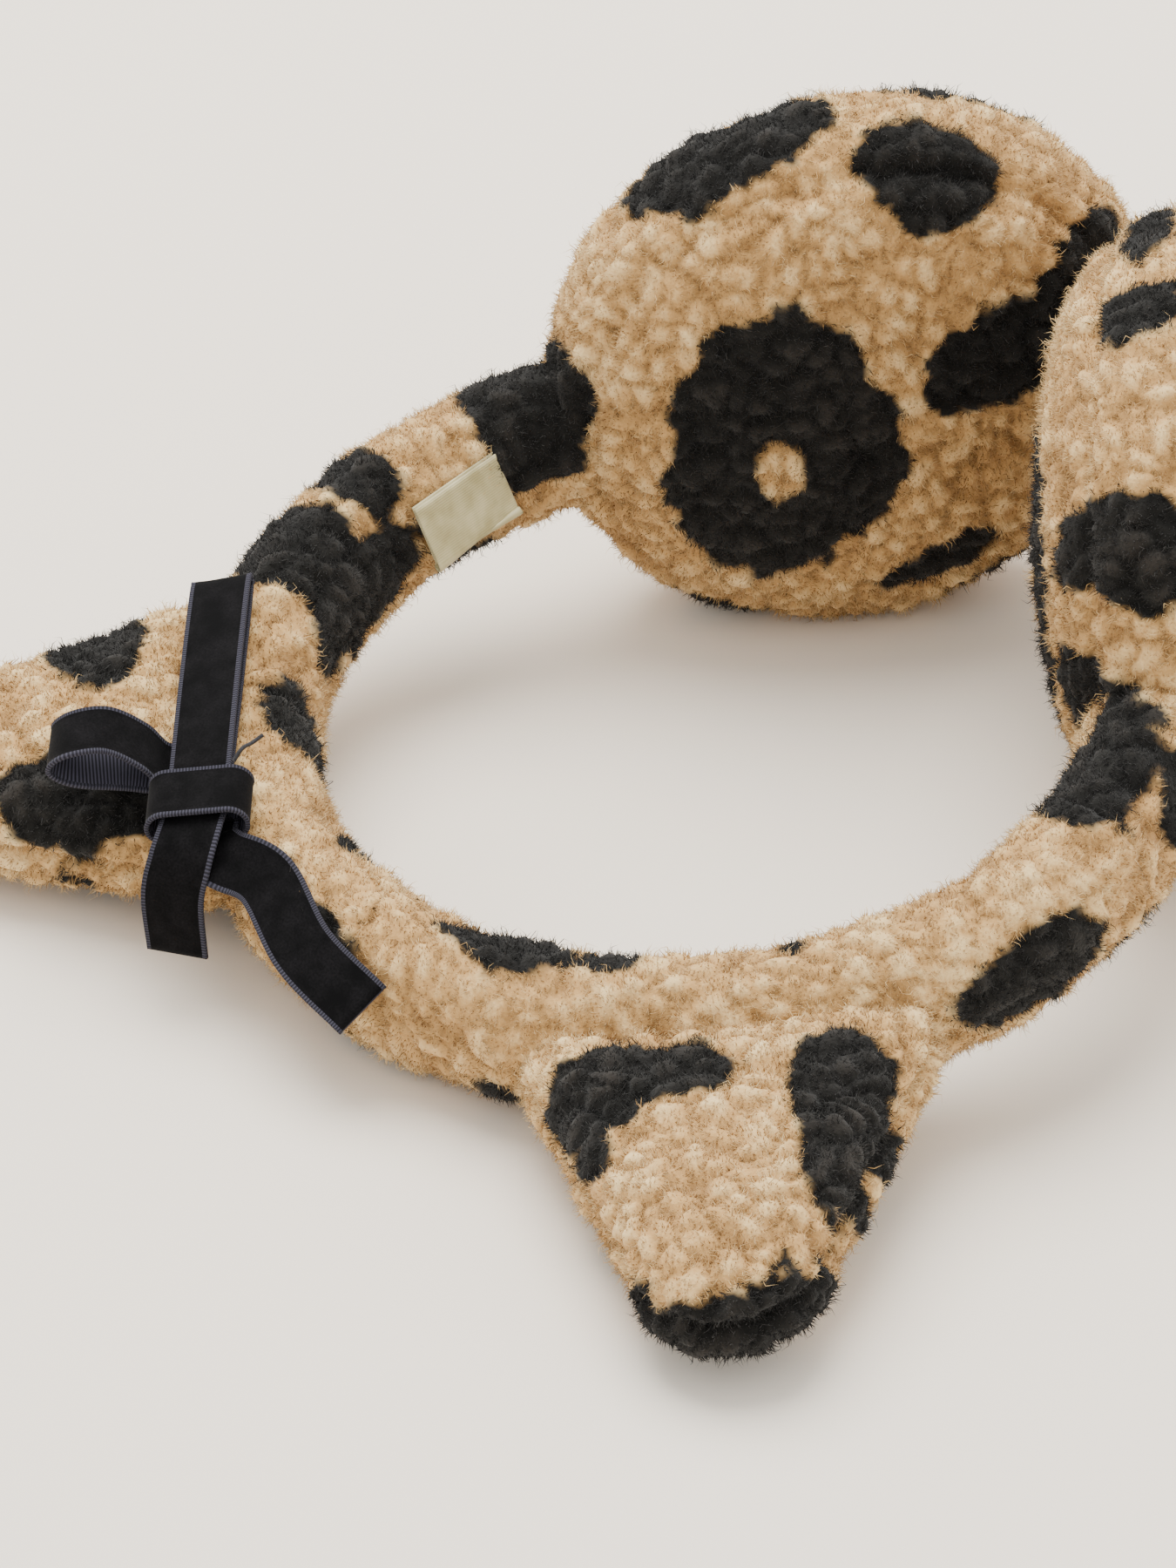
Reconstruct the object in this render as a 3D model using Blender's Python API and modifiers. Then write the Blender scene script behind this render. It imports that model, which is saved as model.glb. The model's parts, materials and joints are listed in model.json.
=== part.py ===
"""Plush earmuffs with animal ears and a ribbon bow, lying on a table.

A sprung plastic strip bends round the head inside foam and a pile-fabric sleeve. Each end of
the strip is riveted to a plate inside a padded cup. Two stuffed ears are sewn to the sleeve,
and a ribbon bow sits at the foot of the left one.

Metres, +Z up. The band's centreline lies in the band plane, where X points to the right,
Y from the crown to the cups, and Z is the band plane's normal. Angles along the band are the
turn of its tangent from the crown, positive on the right.
"""
import math

import bmesh
import bpy
from mathutils import Matrix, Vector

MM = 0.001
CLEARANCE = 0.3 * MM       # gap between pieces that touch

# Headband centreline: a crown arc, then a tighter arc down each side
CROWN_RADIUS = 75 * MM
CROWN_ARC = 56             # degrees from the crown to the end of the crown arc
SIDE_RADIUS = 66 * MM
NECK_ANGLE = 122           # degrees, where the centreline enters the cup
SLEEVE_END = 119           # degrees, where the sleeve, foam and spring stop short of the cup
CROWN_HINGE = 12           # degrees, where each side starts to bend outwards
ARM_HINGE = 78             # degrees, where each arm bends again
LENGTH_GAP = 0.16          # degrees trimmed from each end of a length of band
ARC_STEP = 6               # degrees between the rings of a length of band

# Headband section
BAND_HALF_WIDTH = 13 * MM        # along the band plane's normal
BAND_HALF_THICKNESS = 10.5 * MM  # towards and away from the head
SLEEVE_WALL = 4.5 * MM
SPRING_WIDTH = 12 * MM
SPRING_THICKNESS = 1.6 * MM
PIVOT_PROUD = 0.5 * MM           # flex axes lie this far outside the sleeve

# Cups
CUP_RADIUS = 50 * MM
CUP_HALF_DEPTH = 23 * MM
CUP_ROUNDNESS = 2.3        # exponent of the rounded section: 2 is an ellipse
CUP_FACE_RADIUS = 20 * MM  # flat centre of the face that rests on the ear
CUP_SINK = 0.95            # share of the radius from the neck to the cup's centre
CUP_SQUASH = 3.3 * MM      # how far the table flattens the rim
TOE_IN = 36                # degrees that the cup's face turns towards the crown
CUP_GAP = 1.2 * MM         # least gap between the two cups
COVER_WALL = 5 * MM
GUSSET_HALF_WIDTH = CUP_HALF_DEPTH * 11 / 23
PAD_RIM = 8.3 * MM         # width of the pad's lip round the ear plate
PLATE_THICKNESS = 2.5 * MM
RIVET_RADIUS = 2.1 * MM
RIVET_HEAD_RADIUS = 4 * MM
RIVET_HEAD_HEIGHT = 1.2 * MM
RIVET_RUNNING_GAP = 0.25 * MM
WASHER_RADIUS = 5.5 * MM
WASHER_THICKNESS = 0.6 * MM
TAB_OVERRUN = 7 * MM       # how far the strip's end passes the rivet
SWIVEL = 12                # degrees that a cup turns on its rivet each way
CUP_STEPS = 32
RIVET_STEPS = 16

# Ears
EAR_ANGLE = 44             # degrees from the crown
EAR_HALF_WIDTH = 31 * MM
EAR_REACH = 66 * MM        # tip, from the band's centreline
EAR_CORNER_RADIUS = 8 * MM
EAR_TIP_RADIUS = 13 * MM
EAR_BASE = 6 * MM          # centre of the base corners, from the band's centreline
EAR_HALF_THICKNESS = 12 * MM
EAR_LIFT = 4               # degrees that the ear rises from the band plane
EAR_WALL = 4 * MM
EAR_ROUNDNESS = 2.4
EAR_RINGS = (1.0, 0.93, 0.8, 0.6, 0.3)

# Bow, in its own frame: X along the upper loop, Y away from the head, Z up from the sleeve
BOW_ANGLE = -24.5            # degrees along the band
BOW_OUT = 10 * MM         # outwards from the band's centreline
BOW_TURN = 132.4           # degrees of its X axis in the band plane
RIBBON_WIDTH = 10 * MM
RIBBON_THICKNESS = 0.6 * MM
RIBBON_LAYER = 0.9 * MM    # height from one layer of the knot to the next
KNOT_HALF_LENGTH = RIBBON_WIDTH / 2 + 2.8 * MM
THREAD_RADIUS = 0.4 * MM
UPPER_LOOP_LENGTH = 50 * MM

# Care label
LABEL_ANGLE = -99          # degrees along the band
LABEL_WIDTH = 18 * MM
LABEL_LENGTH = 11 * MM
LABEL_THICKNESS = 0.4 * MM

TABLE_SIZE = 500 * MM      # block whose top flattens the cups' rims

UP = Vector((0, 0, 1))
SIDES = (("left", -1), ("right", 1))

COLOURS = {                # base colour, roughness, metallic
    "teddy_tan": ((0.50, 0.33, 0.17, 1), 0.95, 0),
    "teddy_black": ((0.022, 0.021, 0.020, 1), 0.95, 0),
    "foam": ((0.80, 0.78, 0.70, 1), 0.9, 0),
    "wadding": ((0.90, 0.90, 0.88, 1), 0.95, 0),
    "spring_plastic": ((0.03, 0.03, 0.03, 1), 0.45, 0),
    "plate_plastic": ((0.75, 0.75, 0.73, 1), 0.5, 0),
    "rivet_brass": ((0.72, 0.55, 0.28, 1), 0.35, 1),
    "velvet": ((0.010, 0.010, 0.011, 1), 0.9, 0),
    "thread": ((0.012, 0.012, 0.014, 1), 0.8, 0),
    "label_satin": ((0.50, 0.46, 0.33, 1), 0.4, 0),
}


# ---------------------------------------------------------------- the scene and its objects

def clear_scene():
    for item in list(bpy.data.objects):
        bpy.data.objects.remove(item, do_unlink=True)


def new_collection(name):
    collection = bpy.data.collections.new(name)
    bpy.context.scene.collection.children.link(collection)
    return collection


def material(name, finish):
    colour, roughness, metallic = COLOURS[finish]
    made = bpy.data.materials.new(name)
    made.use_nodes = True
    shader = made.node_tree.nodes["Principled BSDF"]
    shader.inputs["Base Color"].default_value = colour
    shader.inputs["Roughness"].default_value = roughness
    shader.inputs["Metallic"].default_value = metallic
    made.diffuse_color = colour
    return made


def piece(name, bm, parent, finish):
    """A named object from a bmesh given in its parent's axes."""
    bmesh.ops.recalc_face_normals(bm, faces=bm.faces)
    mesh = bpy.data.meshes.new(name)
    bm.to_mesh(mesh)
    bm.free()
    mesh.shade_smooth()
    mesh.set_sharp_from_angle(angle=math.radians(40))
    made = bpy.data.objects.new(name, mesh)
    made.parent = parent
    mesh.materials.append(material(name, finish))
    PARTS.objects.link(made)
    return made


def empty(name, parent, location, rotation=(0, 0, 0)):
    made = bpy.data.objects.new(name, None)
    made.empty_display_size = 10 * MM
    made.parent = parent
    made.location = location
    made.rotation_euler = rotation
    PARTS.objects.link(made)
    return made


def cutter(name, bm, parent):
    bmesh.ops.recalc_face_normals(bm, faces=bm.faces)
    mesh = bpy.data.meshes.new(name)
    bm.to_mesh(mesh)
    bm.free()
    made = bpy.data.objects.new(name, mesh)
    made.parent = parent
    made.hide_render = True
    made.display_type = "WIRE"
    CUTTERS.objects.link(made)
    return made


def cut(target, tool):
    boolean = target.modifiers.new("cut_" + tool.name, "BOOLEAN")
    boolean.operation = "DIFFERENCE"
    boolean.solver = "EXACT"
    boolean.object = tool


# ---------------------------------------------------------------- the band's centreline

def band_point(angle):
    """The centreline's point at a tangent angle, in the band plane."""
    turn = math.radians(abs(angle))
    bend = min(turn, math.radians(CROWN_ARC))
    x = CROWN_RADIUS * math.sin(bend) + SIDE_RADIUS * (math.sin(turn) - math.sin(bend))
    y = CROWN_RADIUS * (1 - math.cos(bend)) + SIDE_RADIUS * (math.cos(bend) - math.cos(turn))
    return Vector((math.copysign(x, angle), y, 0))


def outward(angle):
    """The direction away from the head at a tangent angle."""
    turn = math.radians(angle)
    return Vector((math.sin(turn), -math.cos(turn), 0))


def along(angle):
    """The centreline's direction at a tangent angle, positive towards the right."""
    turn = math.radians(angle)
    return Vector((math.cos(turn), math.sin(turn), 0))


def on_band(angle, out, up):
    """A point given by its place along the band, outwards from it and up from its plane."""
    return band_point(angle) + outward(angle) * out + UP * up


def arc_spans(start, end):
    """The stretches between two angles that each have one radius."""
    stops = [start]
    stops += [bend for bend in (-CROWN_ARC, CROWN_ARC) if start < bend < end]
    stops.append(end)
    return list(zip(stops, stops[1:]))


def arc_centre(span):
    middle = sum(span) / 2
    if abs(middle) <= CROWN_ARC:
        return Vector((0, CROWN_RADIUS, 0))
    bend = math.copysign(CROWN_ARC, middle)
    return band_point(bend) - outward(bend) * SIDE_RADIUS


def section_loop(bm, angle, half_thickness, half_width, corners):
    """A closed loop of edges across the band; four corners make it a rectangle."""
    axes = Matrix.Identity(4)
    axes.col[0] = (*(outward(angle) * half_thickness), 0)
    axes.col[1] = (*(UP * half_width), 0)
    axes.col[2] = (*along(angle), 0)
    axes.col[3] = (*band_point(angle), 1)
    grown = 1.0
    if corners == 4:
        axes = axes @ Matrix.Rotation(math.radians(45), 4, "Z")
        grown = math.sqrt(2)
    made = bmesh.ops.create_circle(bm, segments=corners, radius=grown, matrix=axes)
    return list({edge for vert in made["verts"] for edge in vert.link_edges})


def band_length(start, end, outer, inner=None):
    """A length of band spun along the centreline: solid, or hollow where inner is given.

    outer and inner are (half thickness, half width, corners).
    """
    bm = bmesh.new()
    loop = section_loop(bm, start, *outer)
    if inner:
        loop += section_loop(bm, start, *inner)
        bmesh.ops.bridge_loops(bm, edges=loop)
    else:
        bmesh.ops.contextual_create(bm, geom=loop)
    moving = list(bm.faces)
    for span in arc_spans(start, end):
        steps = max(1, round((span[1] - span[0]) / ARC_STEP))
        spun = bmesh.ops.spin(
            bm, geom=moving, cent=arc_centre(span), axis=UP,
            angle=math.radians(span[1] - span[0]), steps=steps,
        )
        ends = [item for item in spun["geom_last"] if isinstance(item, bmesh.types.BMFace)]
        inside = [face for face in moving if face.is_valid
                  and any(len(edge.link_faces) > 2 for edge in face.edges)]
        bmesh.ops.delete(bm, geom=inside, context="FACES_ONLY")
        moving = ends
    return bm


# ---------------------------------------------------------------- where the cups lie

def cup_middle(toe):
    """The right cup's centre when its face is turned in by toe degrees."""
    lead = (along(NECK_ANGLE) + along(90 + toe)) / 2
    return band_point(NECK_ANGLE) + lead * CUP_SINK * CUP_RADIUS


def cup_clear_of_middle(toe):
    """How far the right cup stays from the plane between the cups."""
    dual = CUP_ROUNDNESS / (CUP_ROUNDNESS - 1)
    across = CUP_RADIUS * math.sin(math.radians(toe))
    through = CUP_HALF_DEPTH * math.cos(math.radians(toe))
    return cup_middle(toe).x - (across ** dual + through ** dual) ** (1 / dual)


def cup_toe_in():
    """The stated toe-in, or less where larger cups would meet in the middle."""
    if cup_clear_of_middle(TOE_IN) >= CUP_GAP / 2:
        return TOE_IN
    low, high = 0.0, TOE_IN
    for _ in range(30):
        toe = (low + high) / 2
        if cup_clear_of_middle(toe) > CUP_GAP / 2:
            low = toe
        else:
            high = toe
    return low


TOE = cup_toe_in()
CUP_CENTRE = cup_middle(TOE)
CUP_HEIGHT = CUP_RADIUS - CUP_SQUASH
BAND_TILT = math.asin((CUP_HEIGHT - BAND_HALF_WIDTH) / CUP_CENTRE.y)
CROWN_HEIGHT = CUP_HEIGHT - CUP_CENTRE.y * math.sin(BAND_TILT)
PIVOT_OUT = BAND_HALF_THICKNESS + PIVOT_PROUD


# ---------------------------------------------------------------- shared shapes

def rounded_section(radius, half_depth, high, low, flat, count):
    """Points of a puffed section from height high down to low, with a flat lower face."""
    def turn(height):
        share = min(1.0, abs(height) / half_depth)
        return math.copysign(math.asin(share ** (CUP_ROUNDNESS / 2)), height)

    points = []
    for step in range(count + 1):
        angle = turn(high) + (turn(low) - turn(high)) * step / count
        out = radius * math.cos(angle) ** (2 / CUP_ROUNDNESS)
        up = math.copysign(half_depth * abs(math.sin(angle)) ** (2 / CUP_ROUNDNESS), angle)
        if up < -flat:
            out = min(out, face_radius(radius, half_depth, flat))
            up = -flat
            points.append((out, up))
            points.append((0.0, up))
            return points
        points.append((out, up))
    return points


def face_radius(radius, half_depth, flat):
    return radius * (1 - (flat / half_depth) ** CUP_ROUNDNESS) ** (1 / CUP_ROUNDNESS)


FACE_DEPTH = CUP_HALF_DEPTH * (1 - (CUP_FACE_RADIUS / CUP_RADIUS) ** CUP_ROUNDNESS) ** (
    1 / CUP_ROUNDNESS)


def turned(name, profile, parent, finish, steps, closed=False):
    """A profile of (radius, height) points turned about its parent's Z axis."""
    bm = bmesh.new()
    verts = [bm.verts.new((out, 0, up)) for out, up in profile]
    for first, second in zip(verts, verts[1:]):
        bm.edges.new((first, second))
    if closed:
        bm.edges.new((verts[-1], verts[0]))
    made = piece(name, bm, parent, finish)
    screw = made.modifiers.new("turn", "SCREW")
    screw.axis = "Z"
    screw.steps = steps
    screw.render_steps = steps
    screw.use_merge_vertices = True
    screw.merge_threshold = 0.01 * MM
    screw.use_smooth_shade = True
    return made


def smooth_path(points, steps=4):
    """Points of a smooth curve through the given ones."""
    route = [Vector(point) for point in points]
    ends = [2 * route[0] - route[1]] + route + [2 * route[-1] - route[-2]]
    made = []
    for before, start, end, after in zip(ends, ends[1:], ends[2:], ends[3:]):
        for step in range(steps):
            t = step / steps
            made.append(0.5 * (
                2 * start + (end - before) * t
                + (2 * before - 5 * start + 4 * end - after) * t ** 2
                + (3 * start - before - 3 * end + after) * t ** 3
            ))
    made.append(route[-1])
    return made


def ribbon(name, route, across, parent, finish, width, thickness, closed=False):
    """A strip along a route; across is the direction of its width, at its start and its end."""
    first, last = Vector(across[0]), Vector(across[-1])
    bm = bmesh.new()
    rungs = []
    for index, point in enumerate(route):
        side = first.lerp(last, index / (len(route) - 1)).normalized() * width / 2
        rungs.append((bm.verts.new(point - side), bm.verts.new(point + side)))
    if closed:
        rungs.append(rungs[0])
    for (near, near_far), (far, far_far) in zip(rungs, rungs[1:]):
        bm.faces.new((near, near_far, far_far, far))
    made = piece(name, bm, parent, finish)
    thicken = made.modifiers.new("thickness", "SOLIDIFY")
    thicken.thickness = thickness
    thicken.offset = 0
    thicken.use_even_offset = True
    return made


# ---------------------------------------------------------------- headband

def make_band(name, start, end, parent, origin):
    """The spring, foam and sleeve of one length of band."""
    low = start + LENGTH_GAP
    high = end - LENGTH_GAP
    foam_half = (
        BAND_HALF_THICKNESS - SLEEVE_WALL - CLEARANCE, BAND_HALF_WIDTH - SLEEVE_WALL - CLEARANCE)
    shapes = (
        ("band_spring_", "spring_plastic", (SPRING_THICKNESS / 2, SPRING_WIDTH / 2, 4), None),
        ("band_foam_", "foam", (*foam_half, 16),
         (SPRING_THICKNESS / 2 + CLEARANCE, SPRING_WIDTH / 2 + CLEARANCE, 4)),
        ("band_sleeve_", "teddy_tan", (BAND_HALF_THICKNESS, BAND_HALF_WIDTH, 16),
         (BAND_HALF_THICKNESS - SLEEVE_WALL, BAND_HALF_WIDTH - SLEEVE_WALL, 16)),
    )
    for kind, finish, outer, inner in shapes:
        bm = band_length(low, high, outer, inner)
        bmesh.ops.translate(bm, verts=bm.verts, vec=-origin)
        piece(kind + name, bm, parent, finish)


# ---------------------------------------------------------------- cups

def make_tab(side_name, frame):
    """The strip's end, lying on the ear plate under the rivet's head, and the rivet."""
    bottom = PLATE_THICKNESS / 2 + CLEARANCE
    top = bottom + SPRING_THICKNESS
    start = -CUP_RADIUS - CLEARANCE
    outline = bmesh.new()
    box = Matrix.Translation(((start + TAB_OVERRUN) / 2, 0, (bottom + top) / 2))
    bmesh.ops.create_cube(outline, size=1.0, matrix=box @ Matrix.Diagonal(
        (TAB_OVERRUN - start, SPRING_WIDTH, SPRING_THICKNESS, 1)))
    ends = [edge for edge in outline.edges
            if all(vert.co.x > 0 for vert in edge.verts)
            and abs(edge.verts[0].co.z - edge.verts[1].co.z) > SPRING_THICKNESS / 2]
    bmesh.ops.bevel(outline, geom=ends, offset=SPRING_WIDTH / 3, segments=3, affect="EDGES")
    tab = piece(side_name + "_band_end", outline, frame, "spring_plastic")
    hole = bmesh.new()
    bmesh.ops.create_cone(
        hole, cap_ends=True, segments=RIVET_STEPS, radius1=RIVET_RADIUS + RIVET_RUNNING_GAP,
        radius2=RIVET_RADIUS + RIVET_RUNNING_GAP, depth=4 * SPRING_THICKNESS,
        matrix=Matrix.Translation((0, 0, (bottom + top) / 2)))
    cut(tab, cutter(side_name + "_rivet_hole_cutter", hole, frame))

    washer_top = -PLATE_THICKNESS / 2 - CLEARANCE
    washer_low = washer_top - WASHER_THICKNESS
    upper_head = top + CLEARANCE
    lower_head = washer_low - CLEARANCE
    turned(side_name + "_rivet", [
        (0, upper_head + RIVET_HEAD_HEIGHT),
        (RIVET_HEAD_RADIUS * 0.7, upper_head + RIVET_HEAD_HEIGHT),
        (RIVET_HEAD_RADIUS, upper_head + RIVET_HEAD_HEIGHT * 0.4),
        (RIVET_HEAD_RADIUS, upper_head),
        (RIVET_RADIUS, upper_head),
        (RIVET_RADIUS, lower_head),
        (RIVET_HEAD_RADIUS, lower_head),
        (RIVET_HEAD_RADIUS, lower_head - RIVET_HEAD_HEIGHT * 0.6),
        (RIVET_HEAD_RADIUS * 0.7, lower_head - RIVET_HEAD_HEIGHT),
        (0, lower_head - RIVET_HEAD_HEIGHT),
    ], frame, "rivet_brass", RIVET_STEPS)
    hole_radius = RIVET_RADIUS + RIVET_RUNNING_GAP
    turned(side_name + "_washer", [
        (hole_radius, washer_top), (WASHER_RADIUS, washer_top),
        (WASHER_RADIUS, washer_low), (hole_radius, washer_low),
    ], frame, "rivet_brass", RIVET_STEPS, closed=True)
    return upper_head + RIVET_HEAD_HEIGHT, lower_head - RIVET_HEAD_HEIGHT


def make_cup(side_name, frame, over_rivet, under_rivet, table):
    """The plate, padding and three-piece cover of one cup, about the rivet's axis."""
    hole_radius = RIVET_RADIUS + RIVET_RUNNING_GAP
    inner_radius = CUP_RADIUS - COVER_WALL
    inner_depth = CUP_HALF_DEPTH - COVER_WALL
    inner_flat = FACE_DEPTH - COVER_WALL
    pad_radius = inner_radius - CLEARANCE
    pad_depth = inner_depth - CLEARANCE
    plate_radius = pad_radius - PAD_RIM - 2 * CLEARANCE
    half_plate = PLATE_THICKNESS / 2
    turned(side_name + "_ear_plate", [
        (hole_radius, half_plate), (plate_radius, half_plate),
        (plate_radius, -half_plate), (hole_radius, -half_plate),
    ], frame, "plate_plastic", CUP_STEPS, closed=True)

    pad_top = under_rivet - CLEARANCE
    pad = rounded_section(
        pad_radius, pad_depth, half_plate, -pad_depth, inner_flat - CLEARANCE, 8)
    turned(side_name + "_inner_pad", [
        (0, pad_top), (pad_radius - PAD_RIM, pad_top),
        (pad_radius - PAD_RIM, half_plate), *pad,
    ], frame, "foam", CUP_STEPS)
    wadding_low = over_rivet + CLEARANCE
    wadding = rounded_section(pad_radius, pad_depth, pad_depth, wadding_low, pad_depth, 7)
    turned(side_name + "_cup_wadding", wadding + [(0, wadding_low)], frame, "wadding",
           CUP_STEPS)

    seam = GUSSET_HALF_WIDTH
    half_gap = CLEARANCE / 2
    outer_cap = rounded_section(
        CUP_RADIUS, CUP_HALF_DEPTH, CUP_HALF_DEPTH, seam + half_gap, CUP_HALF_DEPTH, 7)
    inner_cap = rounded_section(
        inner_radius, inner_depth, inner_depth, seam + half_gap, inner_depth, 7)
    cover_outer = turned(
        side_name + "_cup_outer_cover", outer_cap + inner_cap[::-1], frame, "teddy_tan",
        CUP_STEPS)
    outer_face = rounded_section(
        CUP_RADIUS, CUP_HALF_DEPTH, -seam - half_gap, -CUP_HALF_DEPTH, FACE_DEPTH, 7)
    inner_face = rounded_section(
        inner_radius, inner_depth, -seam - half_gap, -inner_depth, inner_flat, 7)
    cover_inner = turned(
        side_name + "_cup_inner_cover", inner_face[::-1] + outer_face, frame, "teddy_tan",
        CUP_STEPS)
    band_out = rounded_section(
        CUP_RADIUS, CUP_HALF_DEPTH, seam - half_gap, -seam + half_gap, CUP_HALF_DEPTH, 6)
    band_in = rounded_section(
        inner_radius, inner_depth, seam - half_gap, -seam + half_gap, inner_depth, 6)
    gusset = turned(
        side_name + "_cup_gusset", band_out + band_in[::-1], frame, "teddy_tan", CUP_STEPS,
        closed=True)

    slot_low = half_plate
    slot_high = half_plate + 2 * CLEARANCE + SPRING_THICKNESS
    swing = SPRING_WIDTH / 2 + CUP_RADIUS * math.sin(math.radians(SWIVEL)) + 2 * CLEARANCE
    slot = bmesh.new()
    bmesh.ops.create_cube(slot, size=1.0, matrix=Matrix.Translation(
        (-CUP_RADIUS, 0, (slot_low + slot_high) / 2)) @ Matrix.Diagonal(
        (4 * COVER_WALL, 2 * swing, slot_high - slot_low, 1)))
    cut(gusset, cutter(side_name + "_slot_cutter", slot, frame))
    for cover in (cover_outer, gusset, cover_inner):
        cut(cover, table)


# ---------------------------------------------------------------- ears

def ear_outline(shrink):
    """The ear's outline, moved in by shrink: two base corners and a rounder tip."""
    corner_x = EAR_HALF_WIDTH - EAR_CORNER_RADIUS
    circles = (
        (Vector((corner_x, EAR_BASE)), EAR_CORNER_RADIUS - shrink),
        (Vector((-corner_x, EAR_BASE)), EAR_CORNER_RADIUS - shrink),
        (Vector((0, EAR_REACH - EAR_TIP_RADIUS)), EAR_TIP_RADIUS - shrink),
    )
    points = []
    for step in range(30):
        turn = math.radians(12 * step + 6)
        facing = Vector((math.cos(turn), math.sin(turn)))
        centre, radius = max(circles, key=lambda circle: circle[0].dot(facing) + circle[1])
        points.append(centre + facing * radius)
    return points


def puffed_dome(bm, outline, height, foot, direction):
    """Rings that rise from the outline to a rounded top; returns the rim's vertices."""
    middle = Vector((0, EAR_REACH * 0.42))
    rings = []
    for share in EAR_RINGS:
        up = height * (1 - share ** EAR_ROUNDNESS) ** (1 / EAR_ROUNDNESS)
        ring = [middle + (point - middle) * share for point in outline]
        rings.append([bm.verts.new((point.x, point.y, direction * max(up, foot)))
                      for point in ring])
    count = len(outline)
    for lower, upper in zip(rings, rings[1:]):
        for index in range(count):
            after = (index + 1) % count
            bm.faces.new((lower[index], lower[after], upper[after], upper[index]))
    top = bm.verts.new((middle.x, middle.y, direction * height))
    for index in range(count):
        bm.faces.new((rings[-1][index], rings[-1][(index + 1) % count], top))
    return rings[0]


def ear_panel(direction):
    """One pile-fabric face of the ear: a dome with a wall, closed along its seam."""
    bm = bmesh.new()
    foot = CLEARANCE / 2
    outer = puffed_dome(bm, ear_outline(0), EAR_HALF_THICKNESS, foot, direction)
    inner = puffed_dome(
        bm, ear_outline(EAR_WALL), EAR_HALF_THICKNESS - EAR_WALL, foot, direction)
    count = len(outer)
    for index in range(count):
        after = (index + 1) % count
        bm.faces.new((outer[index], outer[after], inner[after], inner[index]))
    return bm


def ear_wadding():
    bm = bmesh.new()
    shrink = EAR_WALL + CLEARANCE
    half = EAR_HALF_THICKNESS - shrink
    upper = puffed_dome(bm, ear_outline(shrink), half, 0, 1)
    lower = puffed_dome(bm, ear_outline(shrink), half, 0, -1)
    bmesh.ops.weld_verts(bm, targetmap=dict(zip(lower, upper)))
    return bm


def make_ear(side_name, side, parent, origin, tube):
    turn = math.pi + math.radians(side * EAR_ANGLE)
    frame = empty(
        side_name + "_ear_frame", parent, band_point(side * EAR_ANGLE) - origin,
        (math.radians(EAR_LIFT), 0, turn))
    shapes = (
        ("_ear_front", ear_panel(1), "teddy_tan"),
        ("_ear_back", ear_panel(-1), "teddy_tan"),
        ("_ear_wadding", ear_wadding(), "wadding"),
    )
    for suffix, bm, finish in shapes:
        cut(piece(side_name + suffix, bm, frame, finish), tube)


# ---------------------------------------------------------------- bow and care label

def layer(number):
    """Height of a ribbon layer's middle above the bow's frame."""
    return 2 * CLEARANCE + number * RIBBON_LAYER


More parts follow.
